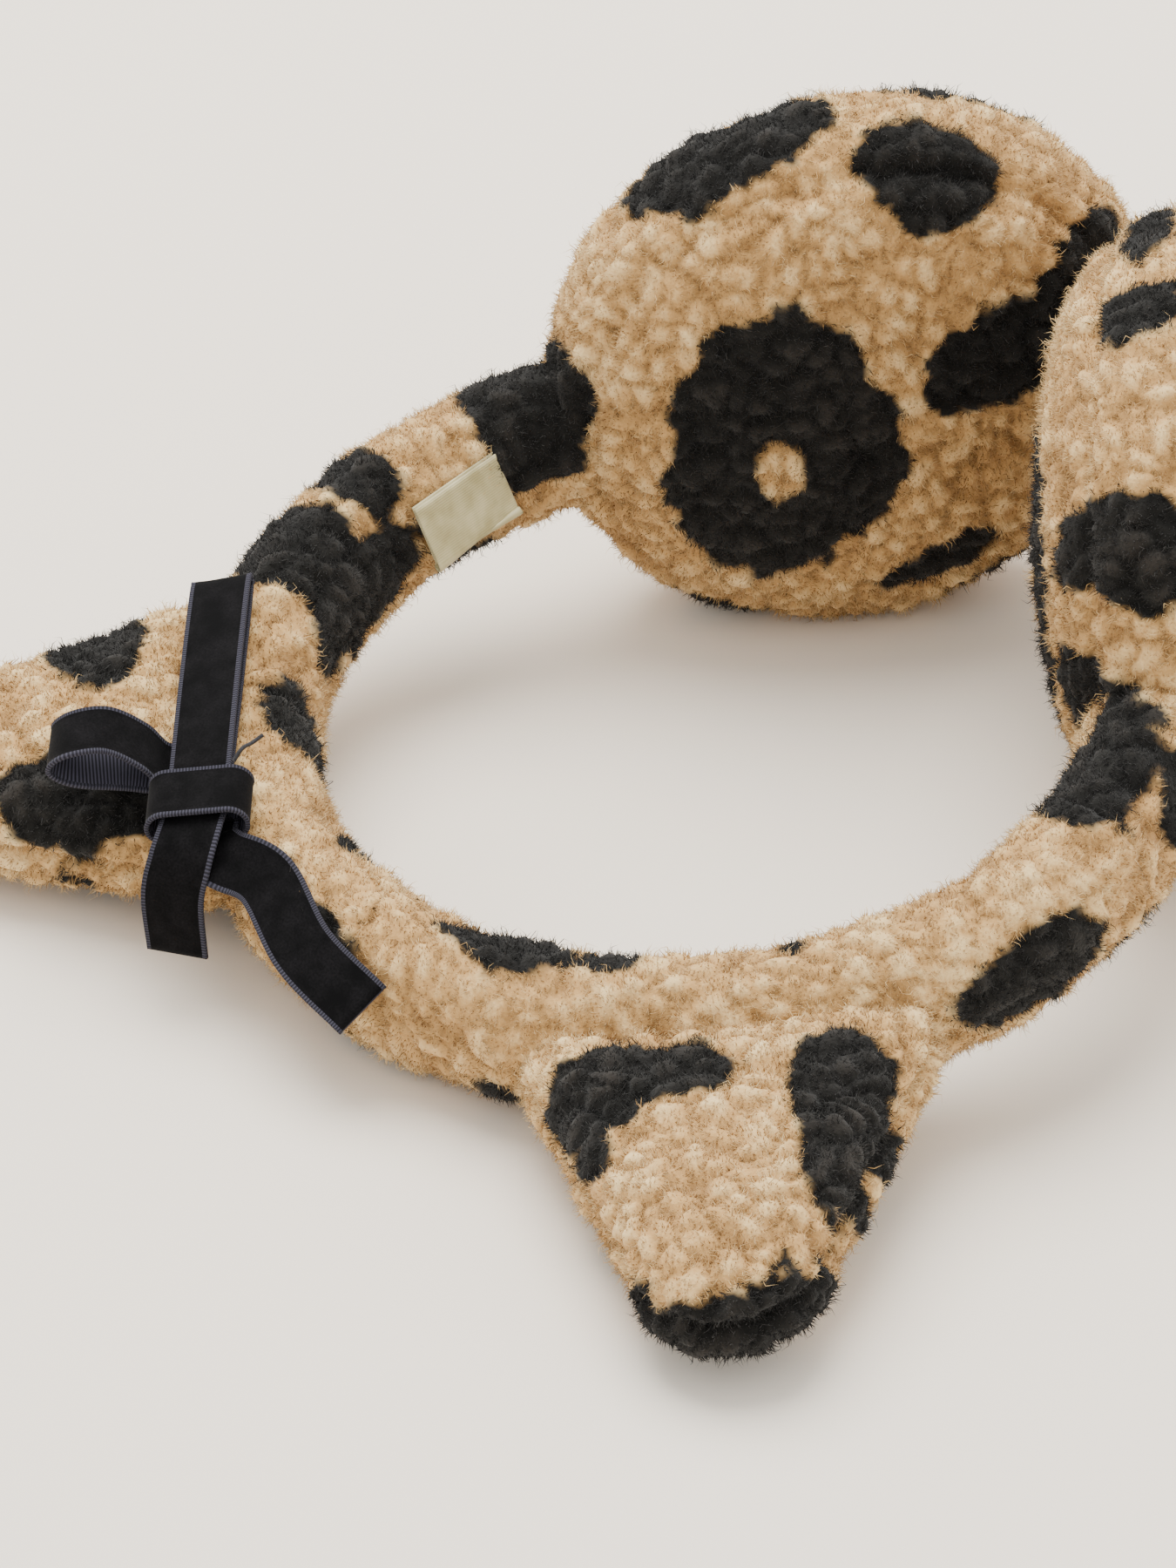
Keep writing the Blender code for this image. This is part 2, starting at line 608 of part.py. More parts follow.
def make_bow(parent, origin):
    frame = empty(
        "bow_frame", parent, on_band(BOW_ANGLE, BOW_OUT, BAND_HALF_WIDTH) - origin,
        (0, 0, math.radians(BOW_TURN)))
    strip = dict(parent=frame, finish="velvet", width=RIBBON_WIDTH, thickness=RIBBON_THICKNESS)
    end = UPPER_LOOP_LENGTH
    across = (Vector((0, 1, -0.12)), Vector((0, 1, -0.12)))
    upper = smooth_path([
        (1 * MM, 0, layer(4)), (9 * MM, 0, layer(3.3)), (28 * MM, 0, layer(2.3)),
        (end - 2 * MM, 0, layer(1.9)), (end, 0, layer(2.8)), (end - 2 * MM, 0, layer(4.4)),
        (28 * MM, 0, layer(5.2)), (9 * MM, 0, layer(5.2)), (1 * MM, 0, layer(5)),
    ])
    ribbon("bow_upper_loop", upper, across, **strip)

    side_across = (Vector((1, 0, 0)), Vector((1, 0, 0)))
    beside = RIBBON_WIDTH + 2 * CLEARANCE
    side_loop = smooth_path([
        (beside, 1 * MM, layer(0.4)), (beside, 6 * MM, layer(0.6)),
        (beside, 12.5 * MM, layer(2.5)), (beside - 1 * MM, 20 * MM, layer(5.5)),
        (beside - 1 * MM, 23 * MM, layer(9)), (beside - 1 * MM, 20 * MM, layer(12)),
        (beside, 14 * MM, layer(11.5)), (beside, 9 * MM, layer(7)),
        (beside, 6.5 * MM, layer(2.1)), (beside, 4 * MM, layer(1.4)), (beside, 1 * MM, layer(1.4)),
    ])
    ribbon("bow_side_loop", side_loop, side_across, **strip)

    tail = smooth_path([
        (-1 * MM, 0, layer(4.5)), (-7 * MM, 1 * MM, layer(4.5)),
        (-11 * MM, 2.5 * MM, layer(2)), (-13.5 * MM, 4.5 * MM, layer(-4)),
        (-15 * MM, 5.5 * MM, layer(-15)),
    ])
    ribbon("bow_lower_tail", tail, (Vector((0, 1, 0)), Vector((0.3, 1, 0))), **strip)

    to_bow = Matrix.Rotation(-math.radians(BOW_TURN), 3, "Z")
    knot_at = on_band(BOW_ANGLE, BOW_OUT, BAND_HALF_WIDTH)
    beyond_knot = RIBBON_WIDTH / 2
    side_tail = smooth_path([
        (-2 * MM, -1 * MM, layer(1)), (-beyond_knot - 1 * MM, -1.2 * MM, layer(0.9)),
        (-beyond_knot - 4.5 * MM, -4 * MM, layer(0.4)),
        to_bow @ (on_band(-12.5, 7.5 * MM, BAND_HALF_WIDTH) - knot_at),
        to_bow @ (on_band(-3, 11.2 * MM, BAND_HALF_WIDTH - 2.5 * MM) - knot_at),
        to_bow @ (on_band(6, 13.2 * MM, BAND_HALF_WIDTH - 5.7 * MM) - knot_at),
    ])
    ribbon("bow_side_tail", side_tail, (Vector((0, 1, 0)), Vector((-0.8, 0.75, -0.5))), **strip)

    low, high = layer(0), layer(6.6)
    bend = (high - low) / 2
    half = KNOT_HALF_LENGTH - bend
    wrap = []
    for step in range(9):
        turn = math.radians(-90 + 22.5 * step)
        wrap.append(Vector((0, half + bend * math.cos(turn), low + bend + bend * math.sin(turn))))
    for step in range(9):
        turn = math.radians(90 + 22.5 * step)
        wrap.append(Vector((0, -half + bend * math.cos(turn), low + bend + bend * math.sin(turn))))
    knot_across = (Vector((1, 0, 0)), Vector((1, 0, 0)))
    ribbon("bow_knot", wrap, knot_across, closed=True, **strip)

    thread_points = ((5.8, -5.5, 6.6), (7.2, -7, 7.8), (8.8, -8.2, 7.2), (10, -10, 7.6))
    curve = bpy.data.curves.new("bow_thread", "CURVE")
    curve.dimensions = "3D"
    curve.bevel_depth = THREAD_RADIUS
    curve.bevel_resolution = 2
    curve.use_fill_caps = True
    spline = curve.splines.new("POLY")
    route = smooth_path([Vector(point) * MM for point in thread_points], 2)
    spline.points.add(len(route) - 1)
    for point, place in zip(spline.points, route):
        point.co = (*place, 1)
    curve.materials.append(material("bow_thread", "thread"))
    thread = bpy.data.objects.new("bow_thread", curve)
    thread.parent = frame
    PARTS.objects.link(thread)


def make_label(parent, origin):
    """A folded satin tab sewn into the inner seam of the left arm."""
    top_out = -BAND_HALF_THICKNESS * 0.98
    lean = Vector((0, -0.38, -0.92)).normalized()
    route = []
    gap = LABEL_THICKNESS / 2 + CLEARANCE / 2
    fold = ((-gap, 0), (-gap, 0.5), (-gap, 0.95), (0, 1), (gap, 0.95), (gap, 0.5), (gap, 0))
    for out, drop in fold:
        flat = lean * LABEL_LENGTH * drop
        route.append(on_band(
            LABEL_ANGLE, top_out + flat.y + out, BAND_HALF_WIDTH * 0.68 + flat.z) - origin)
    across = (along(LABEL_ANGLE), along(LABEL_ANGLE))
    ribbon("care_label", route, across, parent, "label_satin", LABEL_WIDTH, LABEL_THICKNESS)


# ---------------------------------------------------------------- assembly

def make_side(side_name, side, crown, table, tube):
    """One half of the object outside the crown: shoulder, ear, arm, band end and cup."""
    shoulder_at = on_band(side * CROWN_HINGE, PIVOT_OUT, 0)
    shoulder = empty(side_name + "_crown_flex", crown, shoulder_at)
    span = sorted((side * CROWN_HINGE, side * ARM_HINGE))
    make_band(side_name + "_shoulder", *span, shoulder, shoulder_at)
    make_ear(side_name, side, shoulder, shoulder_at, tube)

    arm_at = on_band(side * ARM_HINGE, PIVOT_OUT, 0)
    arm = empty(side_name + "_arm_flex", shoulder, arm_at - shoulder_at)
    span = sorted((side * ARM_HINGE, side * SLEEVE_END))
    make_band(side_name + "_arm", *span, arm, arm_at)

    centre = Vector((side * CUP_CENTRE.x, CUP_CENTRE.y, 0))
    turn = Matrix.Rotation(math.pi / 2 + math.radians(side * TOE), 3, "Z")
    turn = turn @ Matrix.Rotation(side * math.pi / 2, 3, "X")
    mouth = centre + turn @ Vector((-CUP_RADIUS - CLEARANCE, 0, PIVOT_OUT))
    tilt = empty(side_name + "_cup_tilt", arm, mouth - arm_at)
    frame = empty(side_name + "_cup_swivel", tilt, centre - mouth, turn.to_euler())
    over_rivet, under_rivet = make_tab(side_name, frame)
    make_cup(side_name, frame, over_rivet, under_rivet, table)
    return shoulder, shoulder_at, arm, arm_at


def rest_on_origin(root):
    """Move the object so that the middle of its footprint is the origin."""
    bpy.context.view_layer.update()
    graph = bpy.context.evaluated_depsgraph_get()
    low, high = math.inf, -math.inf
    for part in PARTS.objects:
        if part.type == "EMPTY":
            continue
        made = part.evaluated_get(graph)
        mesh = made.to_mesh()
        places = [(made.matrix_world @ vert.co).y for vert in mesh.vertices]
        made.to_mesh_clear()
        low = min(low, *places)
        high = max(high, *places)
    root.location.y -= (low + high) / 2
    bpy.context.view_layer.update()


def main():
    box = bmesh.new()
    bmesh.ops.create_cube(
        box, size=TABLE_SIZE, matrix=Matrix.Translation((0, 0, -TABLE_SIZE / 2)))
    table = cutter("table_cutter", box, None)

    band_plane = empty("band_plane", None, (0, 0, CROWN_HEIGHT), (BAND_TILT, 0, 0))
    tube = cutter("sleeve_cutter", band_length(-ARM_HINGE, ARM_HINGE, (
        BAND_HALF_THICKNESS + CLEARANCE, BAND_HALF_WIDTH + CLEARANCE, 16)), band_plane)
    crown = empty("crown", band_plane, (0, 0, 0))
    make_band("crown", -CROWN_HINGE, CROWN_HINGE, crown, Vector((0, 0, 0)))
    for side_name, side in SIDES:
        shoulder, shoulder_at, arm, arm_at = make_side(side_name, side, crown, table, tube)
        if side_name == "left":
            make_bow(shoulder, shoulder_at)
            make_label(arm, arm_at)
    rest_on_origin(band_plane)


clear_scene()
PARTS = new_collection("animal_ear_earmuffs")
CUTTERS = new_collection("cutters")
main()
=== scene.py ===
"""Looks of the plush animal-ear earmuffs: teddy fleece, velvet ribbon and satin round the packed model.

The band's own axes are X to the right, Y from the crown to the cups and Z out of the band plane.
Angles along the band are the turn of its tangent from the crown, positive on the right; the angle
round it starts at the top, with the outside of the band at 90 degrees.
"""
import json
import math

import bmesh
import bpy
import numpy as np
from mathutils import Matrix, Vector, noise


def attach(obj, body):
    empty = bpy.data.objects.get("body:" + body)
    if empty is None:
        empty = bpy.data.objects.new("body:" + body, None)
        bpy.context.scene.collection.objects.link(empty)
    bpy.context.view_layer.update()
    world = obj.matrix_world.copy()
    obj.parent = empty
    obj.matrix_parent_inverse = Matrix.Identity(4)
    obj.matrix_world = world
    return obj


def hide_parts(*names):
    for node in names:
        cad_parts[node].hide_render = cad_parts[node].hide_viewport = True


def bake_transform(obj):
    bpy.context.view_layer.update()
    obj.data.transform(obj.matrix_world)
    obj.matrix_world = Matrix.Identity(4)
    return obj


bl_info = {
    "name": "Plush Animal-Ear Earmuffs",
    "version": (1, 0, 0),
    "blender": (4, 5, 0),
    "location": "View3D > Sidebar > Earmuffs",
    "description": "Dresses the packed earmuffs in teddy fleece, velvet ribbon and satin",
    "category": "Add Mesh",
}

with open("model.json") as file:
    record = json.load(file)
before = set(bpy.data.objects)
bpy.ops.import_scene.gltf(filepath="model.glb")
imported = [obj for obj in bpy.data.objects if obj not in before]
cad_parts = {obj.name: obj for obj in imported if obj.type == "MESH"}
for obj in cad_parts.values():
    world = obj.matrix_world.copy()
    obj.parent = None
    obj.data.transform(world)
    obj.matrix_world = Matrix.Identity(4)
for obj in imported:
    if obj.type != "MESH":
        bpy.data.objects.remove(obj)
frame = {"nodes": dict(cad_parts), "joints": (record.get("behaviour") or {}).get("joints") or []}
JOINTS = {joint["name"]: joint for joint in frame["joints"]}
MM = 0.001
SIDES = (("left", -1), ("right", 1))


def linear(hex_code):
    """An sRGB hex colour as linear red, green, blue and a full alpha."""
    parts = [int(hex_code[i:i + 2], 16) / 255 for i in (1, 3, 5)]
    return (*[p / 12.92 if p <= 0.04045 else ((p + 0.055) / 1.055) ** 2.4 for p in parts], 1.0)


def length(name, millimetres, text):
    return bpy.props.FloatProperty(
        name=name, description=text, default=millimetres * MM, unit="LENGTH", subtype="DISTANCE")


def degrees(name, value, text):
    return bpy.props.FloatProperty(
        name=name, description=text, default=math.radians(value), subtype="ANGLE")


def colour(name, hex_code, text):
    return bpy.props.FloatVectorProperty(
        name=name, description=text, default=linear(hex_code), subtype="COLOR", size=4,
        min=0.0, max=1.0)


# ------------------------------------------------------------------ sizes and colours

class FleeceSettings(bpy.types.PropertyGroup):
    nub: length("Nub", 4.6, "Width of one curled nub of the fleece")
    nub_height: length("Nub height", 2.5, "Depth of the creases between nubs")
    proud: length("Proud", 0.7, "How far the nubs' tops stand over the sewn size")
    deepest: length("Deepest", 3.0, "How far a crease or seam may sink below the sewn size")
    pile: length("Pile", 1.25, "Length of an ordinary lock of fibres")
    fibre: length("Fibre", 0.2, "Width of a lock of fibres at its root")
    dense: bpy.props.FloatProperty(
        name="Short locks", description="Short locks on a square millimetre", default=2.7)
    loose: bpy.props.FloatProperty(
        name="Loose curls", description="Loose curls on a square millimetre", default=0.42)
    # The crease colours are painted shade and the tip colours are painted light; tan and black are the
    # fleece's own colour and its print
    tan_deep: colour("Tan crease", "#87633A", "Pile in the creases")
    tan: colour("Tan", "#BB9560", "Pile on the nubs")
    tan_tip: colour("Tan tips", "#E7CD9A", "Ends of the fibres")
    black_deep: colour("Black crease", "#080807", "Printed pile in the creases")
    black: colour("Black", "#151412", "Printed pile on the nubs")
    black_tip: colour("Black tips", "#302C28", "Ends of the printed fibres")


class BandSettings(bpy.types.PropertyGroup):
    crown_radius: length("Crown radius", 75, "Centreline radius over the head")
    side_radius: length("Side radius", 66, "Centreline radius down each side")
    crown_arc: degrees("Crown arc", 56, "Turn from the crown to the end of the crown arc")
    crown_hinge: degrees("Crown flex", 12, "Where each shoulder starts to bend")
    arm_hinge: degrees("Arm flex", 78, "Where each arm bends")
    neck: degrees("Neck", 122, "Where the centreline enters the cup")
    end: degrees("End", 125, "Where the sleeve stops inside the cup")
    half_thickness: length("Half thickness", 10.5, "Towards and away from the head")
    half_width: length("Half width", 13, "Out of the band plane")
    pivot_proud: length("Pivot", 11, "Flex axes, outwards from the centreline")


class CupSettings(bpy.types.PropertyGroup):
    radius: length("Radius", 50, "Of the padded cup")
    half_depth: length("Half depth", 23, "Of the padded cup")
    gusset: length("Gusset", 11, "Half the width of the strip round the rim")
    stretch: length("Stretch", 1.1, "How far the stuffing stretches the cover")
    roundness: bpy.props.FloatProperty(
        name="Roundness", description="Exponent of the section, 2 for an ellipse", default=2.3)


class EarSettings(bpy.types.PropertyGroup):
    angle: degrees("Angle", 44, "Of the ear's middle along the band")
    lift: degrees("Lift", 4, "Out of the band plane")
    half_width: length("Half width", 31, "At the base")
    reach: length("Reach", 66, "Tip from the band's centreline")
    base: length("Base", 6, "Centre of the base corners from the band's centreline")
    corner: length("Corner radius", 8, "Of the base corners")
    tip: length("Tip radius", 13, "Of the tip")
    half_thickness: length("Half thickness", 12, "Of the stuffed ear")
    stretch: length("Stretch", 1.2, "How far the stuffing stretches the panels sideways")


class RibbonSettings(bpy.types.PropertyGroup):
    width: length("Width", 10, "Of the velvet ribbon")
    thickness: length("Thickness", 0.6, "Of the ribbon, pile and backing together")
    selvedge: length("Selvedge", 0.75, "Woven edge of the ribbon")
    layer: length("Layer", 0.9, "Height from one layer of the knot to the next")
    clearance: length("Clearance", 0.6, "Under the first layer")
    angle: degrees("Angle", -24.5, "Of the knot along the band")
    out: length("Out", 10, "Of the knot from the band's centreline")
    turn: degrees("Turn", 132.4, "Of the upper loop in the band plane")
    velvet: colour("Velvet", "#040405", "Ribbon pile")
    velvet_tip: colour("Velvet tips", "#131214", "Ribbon pile where light catches it")
    edge: colour("Edge", "#4C4B58", "Selvedge yarn")
    back: colour("Back", "#17171B", "Ribbed satin back")


class StageSettings(bpy.types.PropertyGroup):
    azimuth: degrees("Azimuth", 44.34, "Of the camera")
    elevation: degrees("Elevation", 34.34, "Of the camera")
    roll: degrees("Roll", 0.95, "Of the camera")
    distance: length("Distance", 1085.5, "From the camera to what it aims at")
    lens: bpy.props.FloatProperty(name="Lens", description="Focal length", default=154.6)
    floor: colour("Floor", "#EFE6D9", "Pale table top")


class EarmuffSettings(bpy.types.PropertyGroup):
    fleece: bpy.props.PointerProperty(type=FleeceSettings)
    band: bpy.props.PointerProperty(type=BandSettings)
    cup: bpy.props.PointerProperty(type=CupSettings)
    ear: bpy.props.PointerProperty(type=EarSettings)
    ribbon: bpy.props.PointerProperty(type=RibbonSettings)
    stage: bpy.props.PointerProperty(type=StageSettings)


def chosen():
    return bpy.context.scene.earmuffs


# ------------------------------------------------------------------ places from the frame

def axes(x, y, z, at):
    """A matrix from three directions and a place."""
    made = Matrix((x, y, z)).transposed().to_4x4()
    made.translation = at
    return made


def band_axes():
    """The band plane, from the two crown flex axes."""
    band = chosen().band
    up = Vector(JOINTS["left_crown_flex"]["axis"]).normalized()
    left = Vector(JOINTS["left_crown_flex"]["pos_m"])
    right = Vector(JOINTS["right_crown_flex"]["pos_m"])
    across = (right - left).normalized()
    forward = up.cross(across)
    hinge = band.crown_hinge
    ahead = band.crown_radius * (1 - math.cos(hinge)) - band.pivot_proud * math.cos(hinge)
    return axes(across, forward, up, (left + right) / 2 - forward * ahead)


def cup_axes(side_name, side):
    """A cup's axes: X away from the neck, Z outwards along the rivet."""
    joint = JOINTS[side_name + "_cup_swivel"]
    out = Vector(joint["axis"]).normalized()
    up = Vector(JOINTS["left_crown_flex"]["axis"]).normalized()
    away = up.cross(out).normalized() * side
    return axes(away, out.cross(away), out, Vector(joint["pos_m"]))


def band_point(angle):
    """The centreline's point at a tangent angle in radians, in the band plane."""
    band = chosen().band
    turn = abs(angle)
    bend = min(turn, band.crown_arc)
    small, large = band.side_radius, band.crown_radius
    x = large * math.sin(bend) + small * (math.sin(turn) - math.sin(bend))
    y = large * (1 - math.cos(bend)) + small * (math.cos(bend) - math.cos(turn))
    return Vector((math.copysign(x, angle), y, 0))


def outward(angle):
    return Vector((math.sin(angle), -math.cos(angle), 0))


def ear_axes(side):
    ear = chosen().ear
    turn = Matrix.Rotation(math.pi + side * ear.angle, 4, "Z") @ Matrix.Rotation(ear.lift, 4, "X")
    return band_axes() @ Matrix.Translation(band_point(side * ear.angle)) @ turn


def bow_axes():
    ribbon = chosen().ribbon
    up = Vector((0, 0, chosen().band.half_width))
    at = band_point(ribbon.angle) + outward(ribbon.angle) * ribbon.out + up
    return band_axes() @ Matrix.Translation(at) @ Matrix.Rotation(ribbon.turn, 4, "Z")


# ------------------------------------------------------------------ mesh helpers

def only(made):
    """Leave one object selected and active."""
    bpy.ops.object.select_all(action="DESELECT")
    made.select_set(True)
    bpy.context.view_layer.objects.active = made
    return made


def places(made):
    """The vertices' places as an array."""
    flat = np.zeros(len(made.data.vertices) * 3)
    made.data.vertices.foreach_get("co", flat)
    return flat.reshape(-1, 3)


def put(made, points):
    made.data.vertices.foreach_set("co", np.asarray(points, np.float32).ravel())
    made.data.update()


def normals(made):
    flat = np.zeros(len(made.data.vertices) * 3)
    made.data.vertices.foreach_get("normal", flat)
    return flat.reshape(-1, 3)


def moved(points, matrix):
    grid = np.array(matrix)
    return np.asarray(points) @ grid[:3, :3].T + grid[:3, 3]


def store(made, name, values):
    """Values on the vertices, for the materials to read."""
    attribute = made.data.attributes.new(name, "FLOAT", "POINT")
    attribute.data.foreach_set("value", np.asarray(values, np.float32))


def apply_all(made):
    only(made)
    for modifier in list(made.modifiers):
        bpy.ops.object.modifier_apply(modifier=modifier.name)


def smooth(made):
    made.data.shade_smooth()
    return made


def from_arrays(name, points, faces, finish):
    """An object from arrays of points and of faces that all have their corners in one row."""
    mesh = bpy.data.meshes.new(name)
    mesh.from_pydata([], [], [])
    sizes = np.concatenate([np.full(len(block), block.shape[1]) for block in faces])
    corners = np.concatenate([block.ravel() for block in faces])
    mesh.vertices.add(len(points))
    mesh.vertices.foreach_set("co", np.asarray(points, np.float32).ravel())
    mesh.loops.add(len(corners))
    mesh.loops.foreach_set("vertex_index", corners.astype(np.int32))
    mesh.polygons.add(len(sizes))
    starts = np.concatenate([[0], np.cumsum(sizes)[:-1]])
    mesh.polygons.foreach_set("loop_start", starts.astype(np.int32))
    mesh.update(calc_edges=True)
    mesh.validate()
    mesh.shade_smooth()
    mesh.materials.append(finish)
    made = bpy.data.objects.new(name, mesh)
    bpy.context.scene.collection.objects.link(made)
    return made


# ------------------------------------------------------------------ printed spots

def spot(at, along, facing, half_along, half_across, ink=1.0, turn=0.0):
    """One printed spot: an ellipse on the surface at a place, in millimetres and degrees."""
    facing = Vector(facing).normalized()
    along = Vector(along)
    along = (along - facing * along.dot(facing)).normalized()
    along.rotate(Matrix.Rotation(math.radians(turn), 3, facing))
    return dict(at=np.array(at) * MM, along=np.array(along), across=np.array(facing.cross(along)),
                facing=np.array(facing), half=(half_along * MM, half_across * MM), ink=ink)


def printed(points, spots, seed):
    """How black the print is at each point: 0 tan, 1 black, with ragged edges."""
    ragged = np.array([
        noise.noise(Vector(point) / (9 * MM) + Vector((seed, 0, 0))) * 0.34
        + noise.noise(Vector(point) / (3.2 * MM) + Vector((0, seed, 0))) * 0.2
        for point in points])
    ink = np.zeros(len(points))
    for mark in spots:
        away = points - mark["at"]
        u = away @ mark["along"] / mark["half"][0]
        v = away @ mark["across"] / mark["half"][1]
        deep = away @ mark["facing"]
        least = min(mark["half"])
        inside = (1 - np.hypot(u, v)) * least / MM + ragged * min(least / MM, 8)
        inside = np.where(deep < -max(12 * MM, least), -9, inside)
        share = np.clip(inside + 0.5, 0, 1)
        ink = np.where(share > 0, ink + (mark["ink"] - ink) * share, ink)
    return ink


# ------------------------------------------------------------------ fleece

def nubs(points, seed):
    """Height share of the fleece's nubs at each point, and the middle of the nub it is in."""
    size = chosen().fleece.nub
    heights = np.zeros(len(points))
    hearts = np.zeros((len(points), 3))
    shift = Vector((seed * 3.7, seed * 1.3, 0))
    for index, point in enumerate(points):
        place = Vector(point) / size + shift
        place += noise.noise_vector(place * 0.5) * 0.7 + noise.noise_vector(place * 1.7) * 0.22
        near, middles = noise.voronoi(place)
        crease = min(1.0, (near[1] - near[0]) / 0.5)
        dome = 1 - min(1.0, near[0] / 0.95) ** 2
        broad = noise.noise(Vector(point) / (12 * MM))
        curls = noise.noise(Vector(point) / (1.7 * MM))
        heights[index] = 0.34 * crease ** 0.7 + 0.46 * dome + 0.34 * broad + 0.16 * curls
        hearts[index] = (middles[0] - place) * size
    return heights, hearts


def fleece_skin(made, spots, local, seed, seam=None):
    """Turn a smooth form into nubbed fleece: moves its surface and stores print and depth.

    local takes world points to the axes the spots are in; seam gives a groove's depth share.
    """
    fleece = chosen().fleece
    points = places(made)
    out = normals(made)
    own = moved(points, local)
    heights, hearts = nubs(own, seed)
    sink = (heights - 0.85) * fleece.nub_height + fleece.proud
    if seam is not None:
        sink = sink - seam(own) * 1.5 * MM
    points = points + out * np.maximum(sink, -fleece.deepest)[:, None]
    points[:, 2] = np.maximum(points[:, 2], 0.25 * MM)
    put(made, points)
    store(made, "print", printed(own, spots, seed))
    # depth is the nub height share, which the material paints as shade in the creases and light on the
    # nub tops
    store(made, "depth", np.clip(heights, 0, 1))
    shade = [noise.noise(Vector(point) / (2.6 * MM)) * 0.5 + 0.5 for point in own]
    store(made, "shade", shade)
    smooth(made)
    return hearts @ np.array(local.inverted())[:3, :3].T


def values(made, name):
    found = np.zeros(len(made.data.vertices))
    made.data.attributes[name].data.foreach_get("value", found)
    return found


def pile(name, skin, hearts, seed, keep=None, density=1.0):
    """Locks of curled fibres rooted on a fleece skin, as thin closed spikes."""
    fleece = chosen().fleece
    draw = np.random.default_rng(seed)
    skin.data.calc_loop_triangles()
    tris = np.zeros(len(skin.data.loop_triangles) * 3, int)
    skin.data.loop_triangles.foreach_get("vertices", tris)
    tris = tris.reshape(-1, 3)
    points, out = places(skin), normals(skin)
    if keep is not None:
        tris = tris[keep(points[tris].mean(1))]
    sides = np.cross(points[tris[:, 1]] - points[tris[:, 0]], points[tris[:, 2]] - points[tris[:, 0]])
    area = np.linalg.norm(sides, axis=1) / 2
    square_mm = area.sum() / MM ** 2 * density
    short = int(square_mm * fleece.dense)
    count = short + int(square_mm * fleece.loose)
    picked = draw.choice(len(tris), count, p=area / area.sum())
    weights = draw.dirichlet((1, 1, 1), count)

    def at_root(table):
        return np.einsum("ij,ij...->i...", weights, np.asarray(table)[tris[picked]])

    root, normal, heart = at_root(points), at_root(out), at_root(hearts)
    normal /= np.linalg.norm(normal, axis=1)[:, None]
    ink = at_root(values(skin, "print")) + draw.uniform(-0.42, 0.42, count)
    ink = (ink > 0.5).astype(float)
    depth, shade = at_root(values(skin, "depth")), draw.uniform(0, 1, count)
    swirl = np.array([noise.noise_vector(Vector(place) / (4 * MM)) for place in root])
    lean = normal * 0.5 - heart / fleece.nub * 0.75 + swirl * 0.8
    lean += draw.normal(0, 0.3, (count, 3))
    lean += normal * np.maximum(0, 0.25 - (lean * normal).sum(1))[:, None]
    lean /= np.linalg.norm(lean, axis=1)[:, None]
    loose = np.arange(count) >= short
    reach = fleece.pile * draw.uniform(0.6, 1.2, count) * np.where(loose, 1.9, 1)
    half = fleece.fibre / 2 * draw.uniform(0.8, 1.25, count) * np.where(loose, 0.7, 1)
    curl = np.cross(lean, draw.normal(0, 1, (count, 3)))
    curl /= np.linalg.norm(curl, axis=1)[:, None] + 1e-9
    third = np.cross(lean, curl)
    base = root - normal * 0.2 * MM
    bend = (draw.uniform(0.15, 0.4, count) * reach)[:, None]
    middle = root + lean * reach[:, None] * 0.5 + curl * bend
    tip = root + lean * reach[:, None] * 0.9 + (third * bend * 0.9 - curl * bend * 0.6)
    tip[:short] = (root + lean * reach[:, None] + curl * bend * 0.5)[:short]
    rings = []
    for turn in (0.0, 2 * math.pi / 3, 4 * math.pi / 3):
        side = (curl * math.cos(turn) + third * math.sin(turn)) * half[:, None]
        rings.append((base + side, middle + side * 0.75))
    roots = [ring[0] for ring in rings]
    spikes = np.stack(roots + [tip], axis=1)[:short]
    curls = np.stack(roots + [ring[1] for ring in rings] + [tip], axis=1)[short:]
    where = np.concatenate([spikes.reshape(-1, 3), curls.reshape(-1, 3)])
    where[:, 2] = np.maximum(where[:, 2], 0.12 * MM)
    one = np.arange(short)[:, None] * 4
    two = short * 4 + np.arange(count - short)[:, None] * 7
    triangles = np.concatenate([one + np.array([corners]) for corners in (
        (0, 1, 3), (1, 2, 3), (2, 0, 3), (2, 1, 0))] + [two + np.array([corners]) for corners in (
            (3, 4, 6), (4, 5, 6), (5, 3, 6), (2, 1, 0))])
    walls = np.concatenate([two + np.array([corners]) for corners in (
        (0, 1, 4, 3), (1, 2, 5, 4), (2, 0, 3, 5))])
    made = from_arrays(name, where, (triangles, walls), fleece_material())

    def spread(table, short_row, loose_row):
        """A value for each point from one for each lock and one for each point of a lock."""
        first = np.repeat(table[:short], 4) + np.tile(short_row, short)
        return np.concatenate([first, np.repeat(table[short:], 7) + np.tile(
            loose_row, count - short)])

    store(made, "print", spread(ink, (0,) * 4, (0,) * 7))
    # Each lock takes its root's depth, low at its root and higher at its tip: painted shade at the
    # roots and painted light towards the tips
    rise = spread(depth * 0.7, (0.05, 0.05, 0.05, 0.4), (0.05, 0.05, 0.05, 0.3, 0.3, 0.3, 0.45))
    store(made, "depth", np.clip(rise, 0, 1))
    store(made, "shade", spread(shade, (0,) * 4, (0,) * 7))
